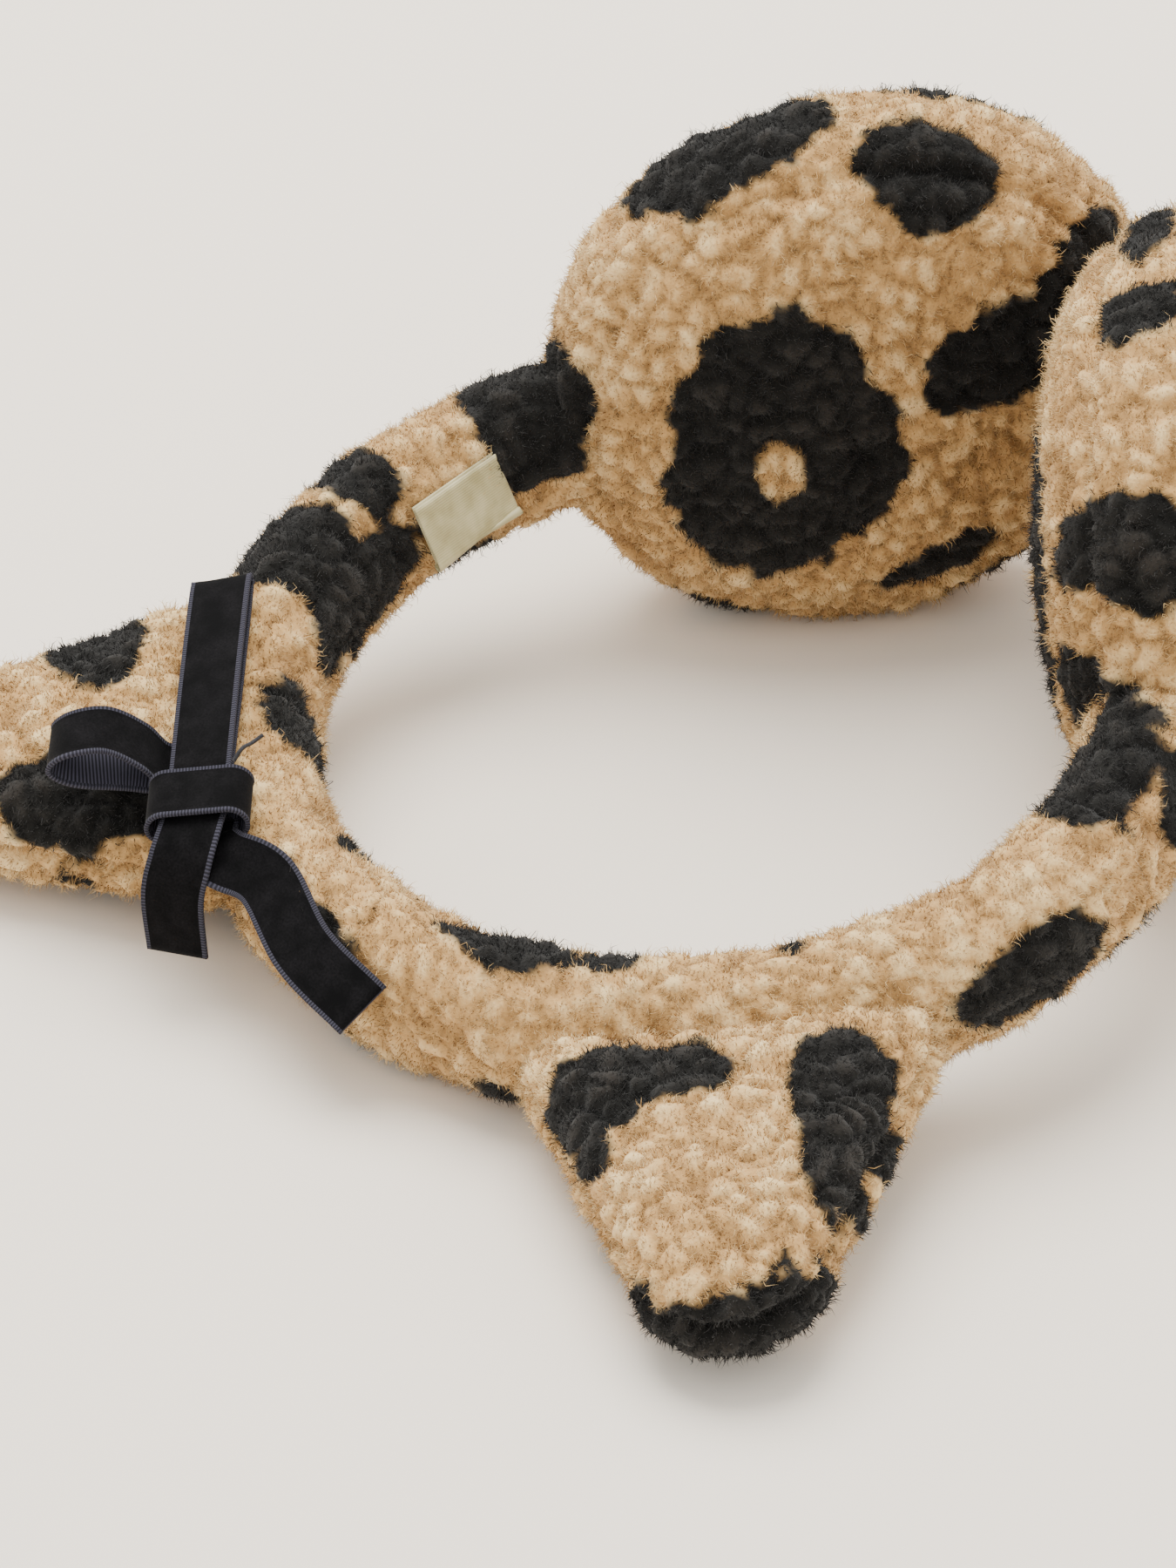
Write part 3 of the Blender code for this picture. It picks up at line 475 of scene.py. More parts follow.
    # each lock bakes into its own cell of a square grid
    cells = math.ceil(math.sqrt(count))
    column, row = np.arange(count) % cells, np.arange(count) // cells
    places_u = spread(column, (0.05, 0.5, 0.95, 0.5), (0.05, 0.5, 0.95, 0.1, 0.5, 0.9, 0.5))
    places_v = spread(row, (0.05, 0.3, 0.05, 0.95), (0.05, 0.2, 0.05, 0.5, 0.65, 0.5, 0.95))
    corner = np.zeros(len(made.data.loops), np.int32)
    made.data.loops.foreach_get("vertex_index", corner)
    grid = np.stack([places_u, places_v], axis=1)[corner] / cells
    made.data.uv_layers.new(name="OFBake").data.foreach_set("uv", grid.astype(np.float32).ravel())
    return made


# ------------------------------------------------------------------ materials

def add_node(tree, kind, settings=None, links=None):
    """A node with its settings, by property or socket name, and its links by socket name."""
    node = tree.nodes.new(kind)
    for name, value in (settings or {}).items():
        if isinstance(name, str) and hasattr(node, name):
            setattr(node, name, value)
        else:
            node.inputs[name].default_value = value
    for name, source in (links or {}).items():
        tree.links.new(source, node.inputs[name])
    return node


def new_material(name, **sockets):
    """A material with its Principled BSDF's sockets set, its tree and that shader."""
    made = bpy.data.materials.new(name)
    made.use_nodes = True
    shader = made.node_tree.nodes["Principled BSDF"]
    for socket, value in sockets.items():
        shader.inputs[socket.replace("_", " ")].default_value = value
    return made, made.node_tree, shader


def once(build):
    """A material is made the first time it is asked for."""
    def found():
        return bpy.data.materials.get(build.__name__.replace("_material", "")) or build()
    found.__name__ = build.__name__
    found.__doc__ = build.__doc__
    return found


def ramp(tree, source, stops):
    """A colour ramp over a value."""
    node = add_node(tree, "ShaderNodeValToRGB", links={"Fac": source})
    elements = node.color_ramp.elements
    while len(elements) < len(stops):
        elements.new(0.5)
    for element, (place, shade) in zip(elements, stops):
        element.position = place
        element.color = tuple(shade)
    return node.outputs["Color"]


def attribute(tree, name):
    return add_node(tree, "ShaderNodeAttribute", {"attribute_name": name}).outputs["Fac"]


def grain(tree, width, detail=2.0, scale=(1, 1, 1)):
    """Noise whose grains are about as wide as given, in object coordinates."""
    where = add_node(tree, "ShaderNodeTexCoord").outputs["Object"]
    place = add_node(tree, "ShaderNodeMapping", {"Scale": scale}, {"Vector": where})
    return add_node(tree, "ShaderNodeTexNoise", {"Scale": 1 / width, "Detail": detail},
                    {"Vector": place.outputs["Vector"]}).outputs["Fac"]


def maths(tree, operation, first, second):
    node = add_node(tree, "ShaderNodeMath", {"operation": operation})
    for socket, value in zip(node.inputs, (first, second)):
        if isinstance(value, (int, float)):
            socket.default_value = value
        else:
            tree.links.new(value, socket)
    return node.outputs["Value"]


def mixed(tree, share, first, second):
    node = add_node(tree, "ShaderNodeMix", {"data_type": "RGBA"})
    for index, value in ((0, share), (6, first), (7, second)):
        if isinstance(value, (int, float, tuple)):
            node.inputs[index].default_value = value
        else:
            tree.links.new(value, node.inputs[index])
    return node.outputs[2]


def bumped(tree, shader, height, distance, strength=1.0):
    bump = add_node(tree, "ShaderNodeBump", {"Strength": strength, "Distance": distance},
                    {"Height": height})
    tree.links.new(bump.outputs["Normal"], shader.inputs["Normal"])


@once
def fleece_material():
    """Polyester teddy fleece: curled matt pile, darker in its creases, paler at its tips."""
    fleece = chosen().fleece
    made, tree, shader = new_material(
        "fleece", Roughness=0.95, IOR=1.45, Specular_IOR_Level=0.08, Sheen_Weight=0.1,
        Sheen_Roughness=0.6)
    depth = attribute(tree, "depth")
    shade = attribute(tree, "shade")
    fibres = grain(tree, 0.5 * MM, 3.0)
    # Painted shade and light: the depth attribute darkens creases and lock roots and lightens nub tops
    # and lock tips; shade and fibres add random tone
    light = maths(tree, "ADD", maths(tree, "MULTIPLY", depth, 0.55),
                  maths(tree, "MULTIPLY", shade, 0.22))
    light = maths(tree, "ADD", light, maths(tree, "MULTIPLY", fibres, 0.3))
    tan = ramp(tree, light, ((0.15, fleece.tan_deep), (0.52, fleece.tan), (0.9, fleece.tan_tip)))
    black = ramp(tree, light, (
        (0.2, fleece.black_deep), (0.62, fleece.black), (0.97, fleece.black_tip)))
    tree.links.new(mixed(tree, attribute(tree, "print"), tan, black), shader.inputs["Base Color"])
    bumped(tree, shader, fibres, 0.35 * MM, 0.6)
    return made


@once
def nylon_velvet_material():
    """Nylon velvet ribbon: black cut pile, slate woven selvedges and a ribbed satin back."""
    ribbon = chosen().ribbon
    made, tree, shader = new_material(
        "nylon_velvet", Roughness=0.9, Specular_IOR_Level=0.08, Sheen_Weight=0.03,
        Sheen_Roughness=0.35)
    across = maths(tree, "ABSOLUTE", attribute(tree, "across"), 0.0)
    along = attribute(tree, "along")
    back = attribute(tree, "back")
    nap = grain(tree, 0.35 * MM, 3.0)
    brushed = grain(tree, 3.5 * MM, 1.0)
    pile_shade = maths(tree, "MULTIPLY", nap, brushed)
    face = ramp(tree, pile_shade, ((0.15, ribbon.velvet), (0.48, ribbon.velvet_tip)))
    # ribs of the satin back lie 0.55 mm apart, across the ribbon
    turns = maths(tree, "MULTIPLY", along, 2 * math.pi / 0.55)
    rib = maths(tree, "ADD", maths(tree, "MULTIPLY", maths(tree, "SINE", turns, 0.0), 0.5), 0.5)
    satin = mixed(tree, rib, tuple(ribbon.back), tuple(ribbon.edge))
    both = mixed(tree, back, face, satin)
    # a selvedge stitch every 0.5 mm
    stitch = maths(tree, "SINE", maths(tree, "MULTIPLY", along, 2 * math.pi / 0.5), 0.0)
    yarn = mixed(tree, maths(tree, "ADD", maths(tree, "MULTIPLY", stitch, 0.3), 0.4),
                 tuple(ribbon.back), tuple(ribbon.edge))
    border = 1 - 2 * ribbon.selvedge / ribbon.width
    edge = maths(tree, "GREATER_THAN", across, border)
    tree.links.new(mixed(tree, edge, both, yarn), shader.inputs["Base Color"])
    height = maths(tree, "ADD", maths(tree, "MULTIPLY", nap, 0.35),
                   maths(tree, "MULTIPLY", maths(tree, "MULTIPLY", rib, back), 0.6))
    height = maths(tree, "ADD", height, maths(tree, "MULTIPLY", edge, stitch))
    bumped(tree, shader, height, 0.12 * MM, 0.7)
    return made


@once
def woven_satin_material():
    """Woven polyester satin: a smooth, faintly ribbed face with a soft gloss."""
    made, tree, shader = new_material(
        "woven_satin", Roughness=0.42, IOR=1.5, Anisotropic=0.4, Sheen_Weight=0.2)
    along = attribute(tree, "along")
    # warp threads drawn 0.4 mm apart, coarser than the real ones, so that they show
    threads = maths(tree, "SINE", maths(tree, "MULTIPLY", along, 2 * math.pi / 0.4), 0.0)
    cloud = grain(tree, 4 * MM, 2.0)
    shade = maths(tree, "ADD", cloud, maths(tree, "MULTIPLY", threads, 0.06))
    tone = ramp(tree, shade, ((0.3, linear("#9C9265")), (0.7, linear("#BDB48A"))))
    tree.links.new(tone, shader.inputs["Base Color"])
    bumped(tree, shader, threads, 0.04 * MM, 0.5)
    return made


@once
def sewing_thread_material():
    """Spun polyester sewing thread: dull black with a fine twist."""
    made, tree, shader = new_material("sewing_thread", Roughness=0.8)
    twist = grain(tree, 0.25 * MM, 1.0, (1, 1, 2))
    tone = ramp(tree, twist, ((0.3, linear("#0E0E10")), (0.7, linear("#2C2C31"))))
    tree.links.new(tone, shader.inputs["Base Color"])
    bumped(tree, shader, twist, 0.08 * MM)
    return made


@once
def pu_foam_material():
    """Open-cell polyurethane foam: matt, cream, with pin-hole cells."""
    made, tree, shader = new_material("pu_foam", Roughness=0.95, Specular_IOR_Level=0.2)
    cells = grain(tree, 0.7 * MM, 4.0)
    tone = ramp(tree, cells, ((0.35, linear("#B5AA8E")), (0.6, linear("#E6DFCB"))))
    tree.links.new(tone, shader.inputs["Base Color"])
    bumped(tree, shader, cells, 0.4 * MM)
    return made


@once
def fibrefill_material():
    """Carded polyester wadding: white, soft and streaked by its fibres."""
    made, tree, shader = new_material("fibrefill", Roughness=0.95, Sheen_Weight=0.4)
    strands = grain(tree, 0.6 * MM, 5.0, (1, 4, 1))
    tone = ramp(tree, strands, ((0.35, linear("#C9C8C3")), (0.65, linear("#F4F3EF"))))
    tree.links.new(tone, shader.inputs["Base Color"])
    bumped(tree, shader, strands, 0.5 * MM)
    return made


@once
def acetal_strip_material():
    """Rolled acetal spring strip: black, satin, with lengthwise draw lines."""
    made, tree, shader = new_material("acetal_strip", Roughness=0.42, IOR=1.48)
    lines = grain(tree, 0.5 * MM, 2.0, (1, 1, 6))
    tone = ramp(tree, lines, ((0.3, linear("#161617")), (0.7, linear("#242426"))))
    tree.links.new(tone, shader.inputs["Base Color"])
    bumped(tree, shader, lines, 0.03 * MM)
    return made


@once
def moulded_pp_material():
    """Moulded polypropylene plate: milky white with a light spark-eroded texture."""
    made, tree, shader = new_material("moulded_pp", Roughness=0.5, IOR=1.49)
    sparks = grain(tree, 0.3 * MM, 2.0)
    tone = ramp(tree, grain(tree, 12 * MM), ((0.3, linear("#CFCDC6")), (0.7, linear("#DFDDD7"))))
    tree.links.new(tone, shader.inputs["Base Color"])
    bumped(tree, shader, sparks, 0.03 * MM)
    return made


@once
def pressed_brass_material():
    """Pressed brass, tumbled to a soft shine and slightly tarnished."""
    made, tree, shader = new_material("pressed_brass", Metallic=1.0, Roughness=0.32)
    tarnish = grain(tree, 2 * MM, 4.0)
    tone = ramp(tree, tarnish, ((0.35, linear("#A9843F")), (0.65, linear("#D8B568"))))
    tree.links.new(tone, shader.inputs["Base Color"])
    bumped(tree, shader, grain(tree, 0.4 * MM), 0.02 * MM)
    return made


@once
def table_top_material():
    """Smooth matt painted board."""
    made, tree, shader = new_material("table_top", Roughness=0.9, Specular_IOR_Level=0.1)
    shader.inputs["Base Color"].default_value = tuple(chosen().stage.floor)
    return made


# ------------------------------------------------------------------ band

# angle along, angle round, half length, half width: degrees, degrees, millimetres
BAND_SPOTS = (
    (-116, -8, 11, 15), (-88, 8, 6, 9), (-72, -8, 10, 12), (-74, -82, 19, 7), (-43, -52, 8, 6),
    (-38, -80, 5, 5), (-14, -66, 4.5, 6), (-8, 48, 15, 6), (17, -32, 11, 6.5), (31, -28, 5, 4),
    (53, -28, 2, 2.5), (19, 118, 3.5, 5), (78, 84, 14, 8), (103, -10, 11, 9), (109, 72, 8, 7),
    (-30, 140, 10, 7), (-62, 150, 9, 6), (-95, 140, 10, 7), (0, 170, 11, 7), (42, 165, 10, 6),
    (70, -150, 9, 6), (95, 160, 10, 8), (86, -75, 8, 5), (-100, -150, 8, 6), (-20, -150, 7, 5),
)
SLEEVE_CUTS = (0, 45, 98, 125)     # degrees along the band where a sleeve piece ends
RING_POINTS = 76
RING_STEP = 1.0 * MM


def band_place(angle, around, out=1.0):
    """A point on the sleeve's surface and the way it faces, in the band's axes."""
    band = chosen().band
    thick, wide = band.half_thickness * out, band.half_width * out
    side, up = math.sin(around), math.cos(around)
    point = band_point(angle) + outward(angle) * thick * side + Vector((0, 0, wide * up))
    facing = outward(angle) * side / thick + Vector((0, 0, up / wide))
    return point, facing.normalized()


def band_spots():
    made = []
    for angle, around, half_long, half_wide in BAND_SPOTS:
        turn = math.radians(angle)
        point, facing = band_place(turn, math.radians(around))
        along = Vector((math.cos(turn), math.sin(turn), 0))
        made.append(spot(point / MM, along, facing, half_long, half_wide))
    return made


def spin_tube(made, start, end, centre, radius):
    """Spin the ring left selected along one arc of the centreline."""
    steps = round(abs(end - start) * radius / RING_STEP)
    bpy.ops.mesh.spin(steps=steps, angle=start - end, center=centre, axis=(0, 0, 1))


def sleeve_tube():
    """The whole sleeve as a smooth tube in the band's own axes."""
    band = chosen().band
    bpy.ops.object.select_all(action="DESELECT")
    bpy.ops.mesh.primitive_circle_add(vertices=RING_POINTS, radius=1)
    made = only(bpy.context.object)
    start = -band.end
    ring = axes(outward(start) * band.half_thickness, Vector((0, 0, band.half_width)),
                Vector((math.cos(start), math.sin(start), 0)), band_point(start))
    made.data.transform(ring)
    arc = band.crown_arc
    left = band_point(-arc) - outward(-arc) * band.side_radius
    right = band_point(arc) - outward(arc) * band.side_radius
    bpy.ops.object.mode_set(mode="EDIT")
    bpy.ops.mesh.select_all(action="SELECT")
    spin_tube(made, -band.end, -arc, left, band.side_radius)
    spin_tube(made, -arc, arc, Vector((0, band.crown_radius, 0)), band.crown_radius)
    spin_tube(made, arc, band.end, right, band.side_radius)
    bpy.ops.mesh.select_all(action="SELECT")
    bpy.ops.mesh.remove_doubles(threshold=0.01 * MM)
    bpy.ops.mesh.normals_make_consistent(inside=False)
    bpy.ops.object.mode_set(mode="OBJECT")
    return made


def band_angles(points):
    """The angle along the band of points in the band's axes."""
    band = chosen().band
    arc = band.crown_arc
    x, y = np.abs(points[:, 0]), points[:, 1]
    crown = np.arctan2(x, band.crown_radius - y)
    centre = band_point(arc) - outward(arc) * band.side_radius
    side = np.arctan2(x - centre.x, centre.y - y)
    return np.where(crown < arc, crown, side) * np.where(points[:, 0] < 0, -1, 1)


def keep_faces(made, wanted):
    """Delete the faces outside a choice, and close the open ends that this leaves."""
    mesh = bmesh.new()
    mesh.from_mesh(made.data)
    mesh.faces.ensure_lookup_table()
    gone = [face for face, keep in zip(mesh.faces, wanted) if not keep]
    bmesh.ops.delete(mesh, geom=gone, context="FACES")
    bmesh.ops.holes_fill(mesh, edges=[edge for edge in mesh.edges if edge.is_boundary], sides=0)
    mesh.to_mesh(made.data)
    mesh.free()


def face_centres(made):
    flat = np.zeros(len(made.data.polygons) * 3)
    made.data.polygons.foreach_get("center", flat)
    return flat.reshape(-1, 3)


def bend_with(made):
    """Blend a piece across the flex axis at a band angle in degrees."""
    plane = band_axes()
    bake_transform(made)


class EARMUFF_OT_sleeve(bpy.types.Operator):
    """The fleece sleeve of the headband, in lengths that bend at its flex axes"""
    bl_idname = "earmuff.sleeve"
    bl_label = "Headband Sleeve"

    def execute(self, context):
        plane = band_axes()
        whole = sleeve_tube()
        whole.data.transform(plane)
        whole.data.materials.append(fleece_material())
        hearts = fleece_skin(whole, band_spots(), plane.inverted(), seed=3)
        store(whole, "heart_x", hearts[:, 0])
        store(whole, "heart_y", hearts[:, 1])
        store(whole, "heart_z", hearts[:, 2])
        centres = np.degrees(band_angles(moved(face_centres(whole), plane.inverted())))
        for side_name, side in SIDES:
            shoulder, arm, end = (side_name + part for part in ("_shoulder", "_arm", "_band_end"))
            lengths = (
                ("crown", ("crown", shoulder, 12), ("crown", side_name + "_shoulder")),
                ("side", (shoulder, arm, 78), (side_name + "_shoulder", side_name + "_arm")),
                ("neck", (arm, end, 115), (side_name + "_arm",)),
            )
            for index, (part, (first, second, middle), nodes) in enumerate(lengths):
                low, high = SLEEVE_CUTS[index:index + 2]
                self.length(whole, f"sleeve_{side_name}_{part}", side, centres, (low, high),
                            (first, second, middle), ["band_sleeve_" + node for node in nodes])
        bpy.data.objects.remove(whole)
        return {"FINISHED"}

    def length(self, whole, name, side, centres, span, joint, nodes):
        skin = whole.copy()
        skin.data = whole.data.copy()
        skin.name = name
        bpy.context.scene.collection.objects.link(skin)
        keep_faces(skin, (centres * side >= span[0]) & (centres * side < span[1]))
        hearts = np.stack([values(skin, "heart_" + letter) for letter in "xyz"], axis=1)
        for letter in "xyz":
            skin.data.attributes.remove(skin.data.attributes["heart_" + letter])
        smooth(skin)
        inverse = band_axes().inverted()

        def outside_caps(points):
            own = moved(points, inverse)
            turn = band_angles(own)
            middle = np.array([band_point(angle) for angle in turn])
            return np.linalg.norm(own - middle, axis=1) > 7.5 * MM

        seed = 100 + span[1] + (7 if side > 0 else 0)
        locks = pile("pile_" + name, skin, hearts, seed, outside_caps)
        for made in (skin, locks):
            bend_with(made)
        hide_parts(*nodes)


# ------------------------------------------------------------------ cups

# angle round the cup from the side away from the neck, distance from its axis, height along the
# axis, half length round, half length outwards, ink: degrees and millimetres
CUP_SPOTS = {
    "left": (
        (172, 15.5, -21.7, 27, 20, 1), (183, 16.5, -21.7, 6, 4.2, 0), (107, 49.5, 2, 18, 11, 1),
        (69, 46.5, -11, 11.5, 9, 1), (27, 24, -20.5, 10, 12, 1), (25, 42, -13, 7, 13, 1),
        (-76, 31, -18.5, 12, 4.5, 1), (-71, 43, -13, 10, 3, 1), (58, 48.5, 10, 13, 5, 1),
        (-125, 48, -7, 10, 4, 1), (166, 48, -5, 8, 8, 1),
        (20, 18, 21.7, 12, 14, 1), (150, 26, 20.5, 13, 10, 1), (-100, 28, 20, 14, 9, 1),
        (-35, 44, 12, 11, 9, 1), (95, 40, 15, 9, 8, 1), (-160, 47, 9, 9, 7, 1),
        (-10, 49, -3, 8, 7, 1),
    ),
    "right": (
        (66, 49, -4, 14, 4.5, 1), (95, 48.8, -3.5, 6.5, 7.5, 1), (142, 48.5, -3, 9, 14, 1),
        (172, 46, -11, 8, 11, 1), (172, 15.5, -21.7, 27, 20, 1), (183, 16.5, -21.7, 6, 4.2, 0),
        (27, 30, -19, 12, 11, 1), (-70, 38, -16, 14, 6, 1), (118, 34, 18.5, 8, 7, 1),
        (165, 36, 17.5, 9, 10, 1), (20, 22, 21.2, 13, 12, 1), (-95, 27, 20.3, 14, 9, 1),
        (-150, 45, 10, 10, 8, 1), (-30, 45, 11, 11, 9, 1), (60, 42, 14, 8, 9, 1),
        (-120, 49, -4, 9, 8, 1), (-20, 49, -4, 9, 8, 1),
    ),
}
CUP_VOXEL = 4.2 * MM


def cup_spots(side_name, side):
    """A cup's spots in its own axes."""
    cup = chosen().cup
    made = []
    for round_at, out, high, half_round, half_out, ink in CUP_SPOTS[side_name]:
        turn = math.radians(round_at) * side
        radial = Vector((math.cos(turn), math.sin(turn), 0))
        around = Vector((-math.sin(turn), math.cos(turn), 0))
        power = cup.roundness - 1
        slope = math.copysign((abs(high) * MM / cup.half_depth) ** power / cup.half_depth, high)
        facing = radial * (out * MM / cup.radius) ** power / cup.radius + Vector((0, 0, slope))
        at = radial * out + Vector((0, 0, high))
        made.append(spot(at, around, facing, half_round, half_out, ink))
    return made


def stuffed(made, voxel, held, cap):
    """Swell a closed form as its stuffing does, held at its seams, no point moving past cap."""
    remesh = made.modifiers.new("weave", "REMESH")
    remesh.mode = "VOXEL"
    remesh.voxel_size = voxel
    apply_all(made)
    before = places(made)
    seams = made.vertex_groups.new(name="seams")
    seams.add([int(index) for index in np.flatnonzero(held(before))], 1.0, "REPLACE")
    cloth = made.modifiers.new("stuffing", "CLOTH")
    cloth.settings.use_pressure = True
    cloth.settings.uniform_pressure_force = 4
    cloth.settings.vertex_group_mass = "seams"
    cloth.settings.effector_weights.gravity = 0
    scene = bpy.context.scene
    for step in range(1, 21):
        scene.frame_set(step)
    graph = bpy.context.evaluated_depsgraph_get()
    after = places(made.evaluated_get(graph))
    made.modifiers.remove(cloth)
    scene.frame_set(1)
    shift = after - before
    far = np.linalg.norm(shift, axis=1)[:, None]
    put(made, before + shift * np.minimum(1, cap / np.maximum(far, 1e-9)))
    made.vertex_groups.clear()
    finer = made.modifiers.new("finer", "SUBSURF")
    finer.levels = finer.render_levels = 2
    apply_all(made)
    return made


class EARMUFF_OT_cups(bpy.types.Operator):
    """The two padded cups, each stuffed inside a gusseted fleece cover"""
    bl_idname = "earmuff.cups"
    bl_label = "Padded Cups"

    def execute(self, context):
        for side_name, side in SIDES:
            self.cup(side_name, side)
        return {"FINISHED"}

    def cup(self, side_name, side):
        cup = chosen().cup
        bpy.ops.object.select_all(action="DESELECT")
        bpy.ops.mesh.primitive_uv_sphere_add(segments=64, ring_count=32, radius=1)
        made = only(bpy.context.object)
        made.name = side_name + "_cup_cover"
        ball = places(made)
        flat = np.hypot(ball[:, 0], ball[:, 1])
        share = 2 / cup.roundness
        out = np.where(flat > 1e-6, flat ** share / np.maximum(flat, 1e-6), 0)
        up = np.sign(ball[:, 2]) * np.abs(ball[:, 2]) ** share
        start = 1.0 + cup.stretch / cup.radius
        put(made, np.stack([ball[:, 0] * out * cup.radius, ball[:, 1] * out * cup.radius,
                            up * cup.half_depth], axis=1) * start)
        place = cup_axes(side_name, side)
        back = place.inverted()
        made.data.transform(place)

        def near_seam(points):
            return np.abs(np.abs(moved(points, back)[:, 2]) - cup.gusset) < CUP_VOXEL * 0.5

        def groove(own):
            off = np.abs(np.abs(own[:, 2]) - cup.gusset)
            rim = np.hypot(own[:, 0], own[:, 1]) > cup.radius * 0.5
            return np.exp(-(off / (1.5 * MM)) ** 2) * rim

        stuffed(made, CUP_VOXEL, near_seam, 2.6 * MM)
        made.data.materials.append(fleece_material())
        hearts = fleece_skin(made, cup_spots(side_name, side), back, 11 + side, groove)
        body = side_name + "_cup"
        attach(made, body)
        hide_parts(*(f"{side_name}_cup_{part}" for part in (
            "outer_cover", "gusset", "inner_cover")))
        locks = []
        quarters = (("outer_front", 1, 1), ("outer_back", 1, -1), ("inner_front", -1, 1),
                    ("inner_back", -1, -1))
        for index, (quarter, out_sign, front) in enumerate(quarters):

            def within(points, out_sign=out_sign, front=front):
                own = moved(points, back)
                return (own[:, 2] * out_sign > 0) & (own[:, 0] * front > 0)

            locks.append(pile(f"pile_{side_name}_cup_{quarter}", made, hearts,
                              300 + 10 * side + index, within))
            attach(locks[-1], body)


# ------------------------------------------------------------------ ears

# place across the ear, outwards and up, half length across, half length outwards, facing up
EAR_SPOTS = {
    "left": (
        (17, 24, 9, 9, 9, 1), (-16, 25, 9, 10, 14, 1), (8, 50, -7, 9, 7, -1), (-10, 22, -11, 9, 8, -1),
        (20, 14, -9, 7, 8, -1), (-4, 62, -5, 8, 6, -1),
    ),
    "right": (
        (18, 19, 9, 10, 8.5, 1), (8, 18, 11, 11, 6.5, 1), (19, 31, 6, 3.5, 4, 1),
        (-19, 24, 9, 8.5, 13, 1), (-15.5, 39, 8, 4.5, 9, 1), (12, 30, -11, 9, 9, -1),
        (-14, 20, -10, 8, 7, -1), (-24, 30, -3, 5, 5, -1), (-20, 41, -3, 3.5, 4, -1),
    ),
}
EAR_VOXEL = 3.0 * MM


def ear_outline(facing):
    """The ear outline's furthest point in each direction, from two corners and a tip."""
    ear = chosen().ear
    circles = (
        (np.array([ear.half_width - ear.corner, ear.base]), ear.corner),
        (np.array([ear.corner - ear.half_width, ear.base]), ear.corner),
        (np.array([0, ear.reach - ear.tip]), ear.tip),
    )
    far = np.stack([facing @ centre + radius for centre, radius in circles], axis=1)
    best = far.argmax(1)
    centres = np.array([circle[0] for circle in circles])[best]
    radii = np.array([circle[1] for circle in circles])[best]
    return centres + facing * radii[:, None]


def ear_spots(side_name):
    made = []
    for x, y, z, half_x, half_y, facing in EAR_SPOTS[side_name]:
        made.append(spot((x, y, z), (1, 0, 0), (x / 60, (y - 28) / 60, facing), half_x, half_y))
    if side_name == "right":
        made.append(spot((0, 64, -3), (1, 0, 0), (0, 0.8, -0.2), 17, 9))
        made.append(spot((2, 55, 9), (1, 0, 0), (0, 0, 1), 9, 6, 0))
    return made


class EARMUFF_OT_ears(bpy.types.Operator):
    """The two stuffed animal ears, each a front and a back panel seamed round the edge"""
    bl_idname = "earmuff.ears"
    bl_label = "Animal Ears"

    def execute(self, context):
        for side_name, side in SIDES:
            self.ear(side_name, side)
        return {"FINISHED"}

    def ear(self, side_name, side):
        ear = chosen().ear
        bpy.ops.object.select_all(action="DESELECT")
        bpy.ops.mesh.primitive_uv_sphere_add(segments=72, ring_count=32, radius=1)
        made = only(bpy.context.object)
        made.name = side_name + "_ear"
        ball = places(made)
        flat = np.hypot(ball[:, 0], ball[:, 1])
        facing = np.where(flat[:, None] > 1e-6, ball[:, :2] / np.maximum(flat, 1e-6)[:, None], 0)
        middle = np.array([0, ear.reach * 0.42])
        rim = ear_outline(facing) - middle + facing * np.array([ear.stretch, -ear.stretch])
        share = flat ** 0.8
        level = np.sign(ball[:, 2]) * np.abs(ball[:, 2]) ** 0.83 * (ear.half_thickness - 1 * MM)
        spread = middle + rim * share[:, None]
        put(made, np.column_stack([spread, level]))
        place = ear_axes(side)
        back = place.inverted()
        made.data.transform(place)

        def near_rim(points):
            own = moved(points, back)
            return np.abs(own[:, 2]) < EAR_VOXEL * 0.6

        def groove(own):
            return np.exp(-((own[:, 2] - 1.5 * MM) / (1.3 * MM)) ** 2) * 1.3

        stuffed(made, EAR_VOXEL, near_rim, 2.0 * MM)
        made.data.materials.append(fleece_material())
        hearts = fleece_skin(made, ear_spots(side_name), back, 21 + side, groove)
        body = side_name + "_shoulder"
        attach(made, body)
        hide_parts(side_name + "_ear_front", side_name + "_ear_back")
        locks = pile(f"pile_{side_name}_ear", made, hearts, 400 + side, density=1.1)
        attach(locks, body)


# ------------------------------------------------------------------ bow and care label

def layer(number):
    """Height in millimetres of a ribbon layer's middle above the bow's axes."""
    ribbon = chosen().ribbon
    return (ribbon.clearance + number * ribbon.layer) / MM


def smooth_path(points, steps=10):
    """Points of a smooth curve through the given ones, in millimetres."""
    route = [Vector(point) for point in points]
    ends = [2 * route[0] - route[1]] + route + [2 * route[-1] - route[-2]]
    made = []
    for before, start, end, after in zip(ends, ends[1:], ends[2:], ends[3:]):
        for step in range(steps):
            t = step / steps
            made.append(0.5 * (
                2 * start + (end - before) * t
                + (2 * before - 5 * start + 4 * end - after) * t ** 2
                + (3 * start - before - 3 * end + after) * t ** 3))
    made.append(route[-1])
    return made


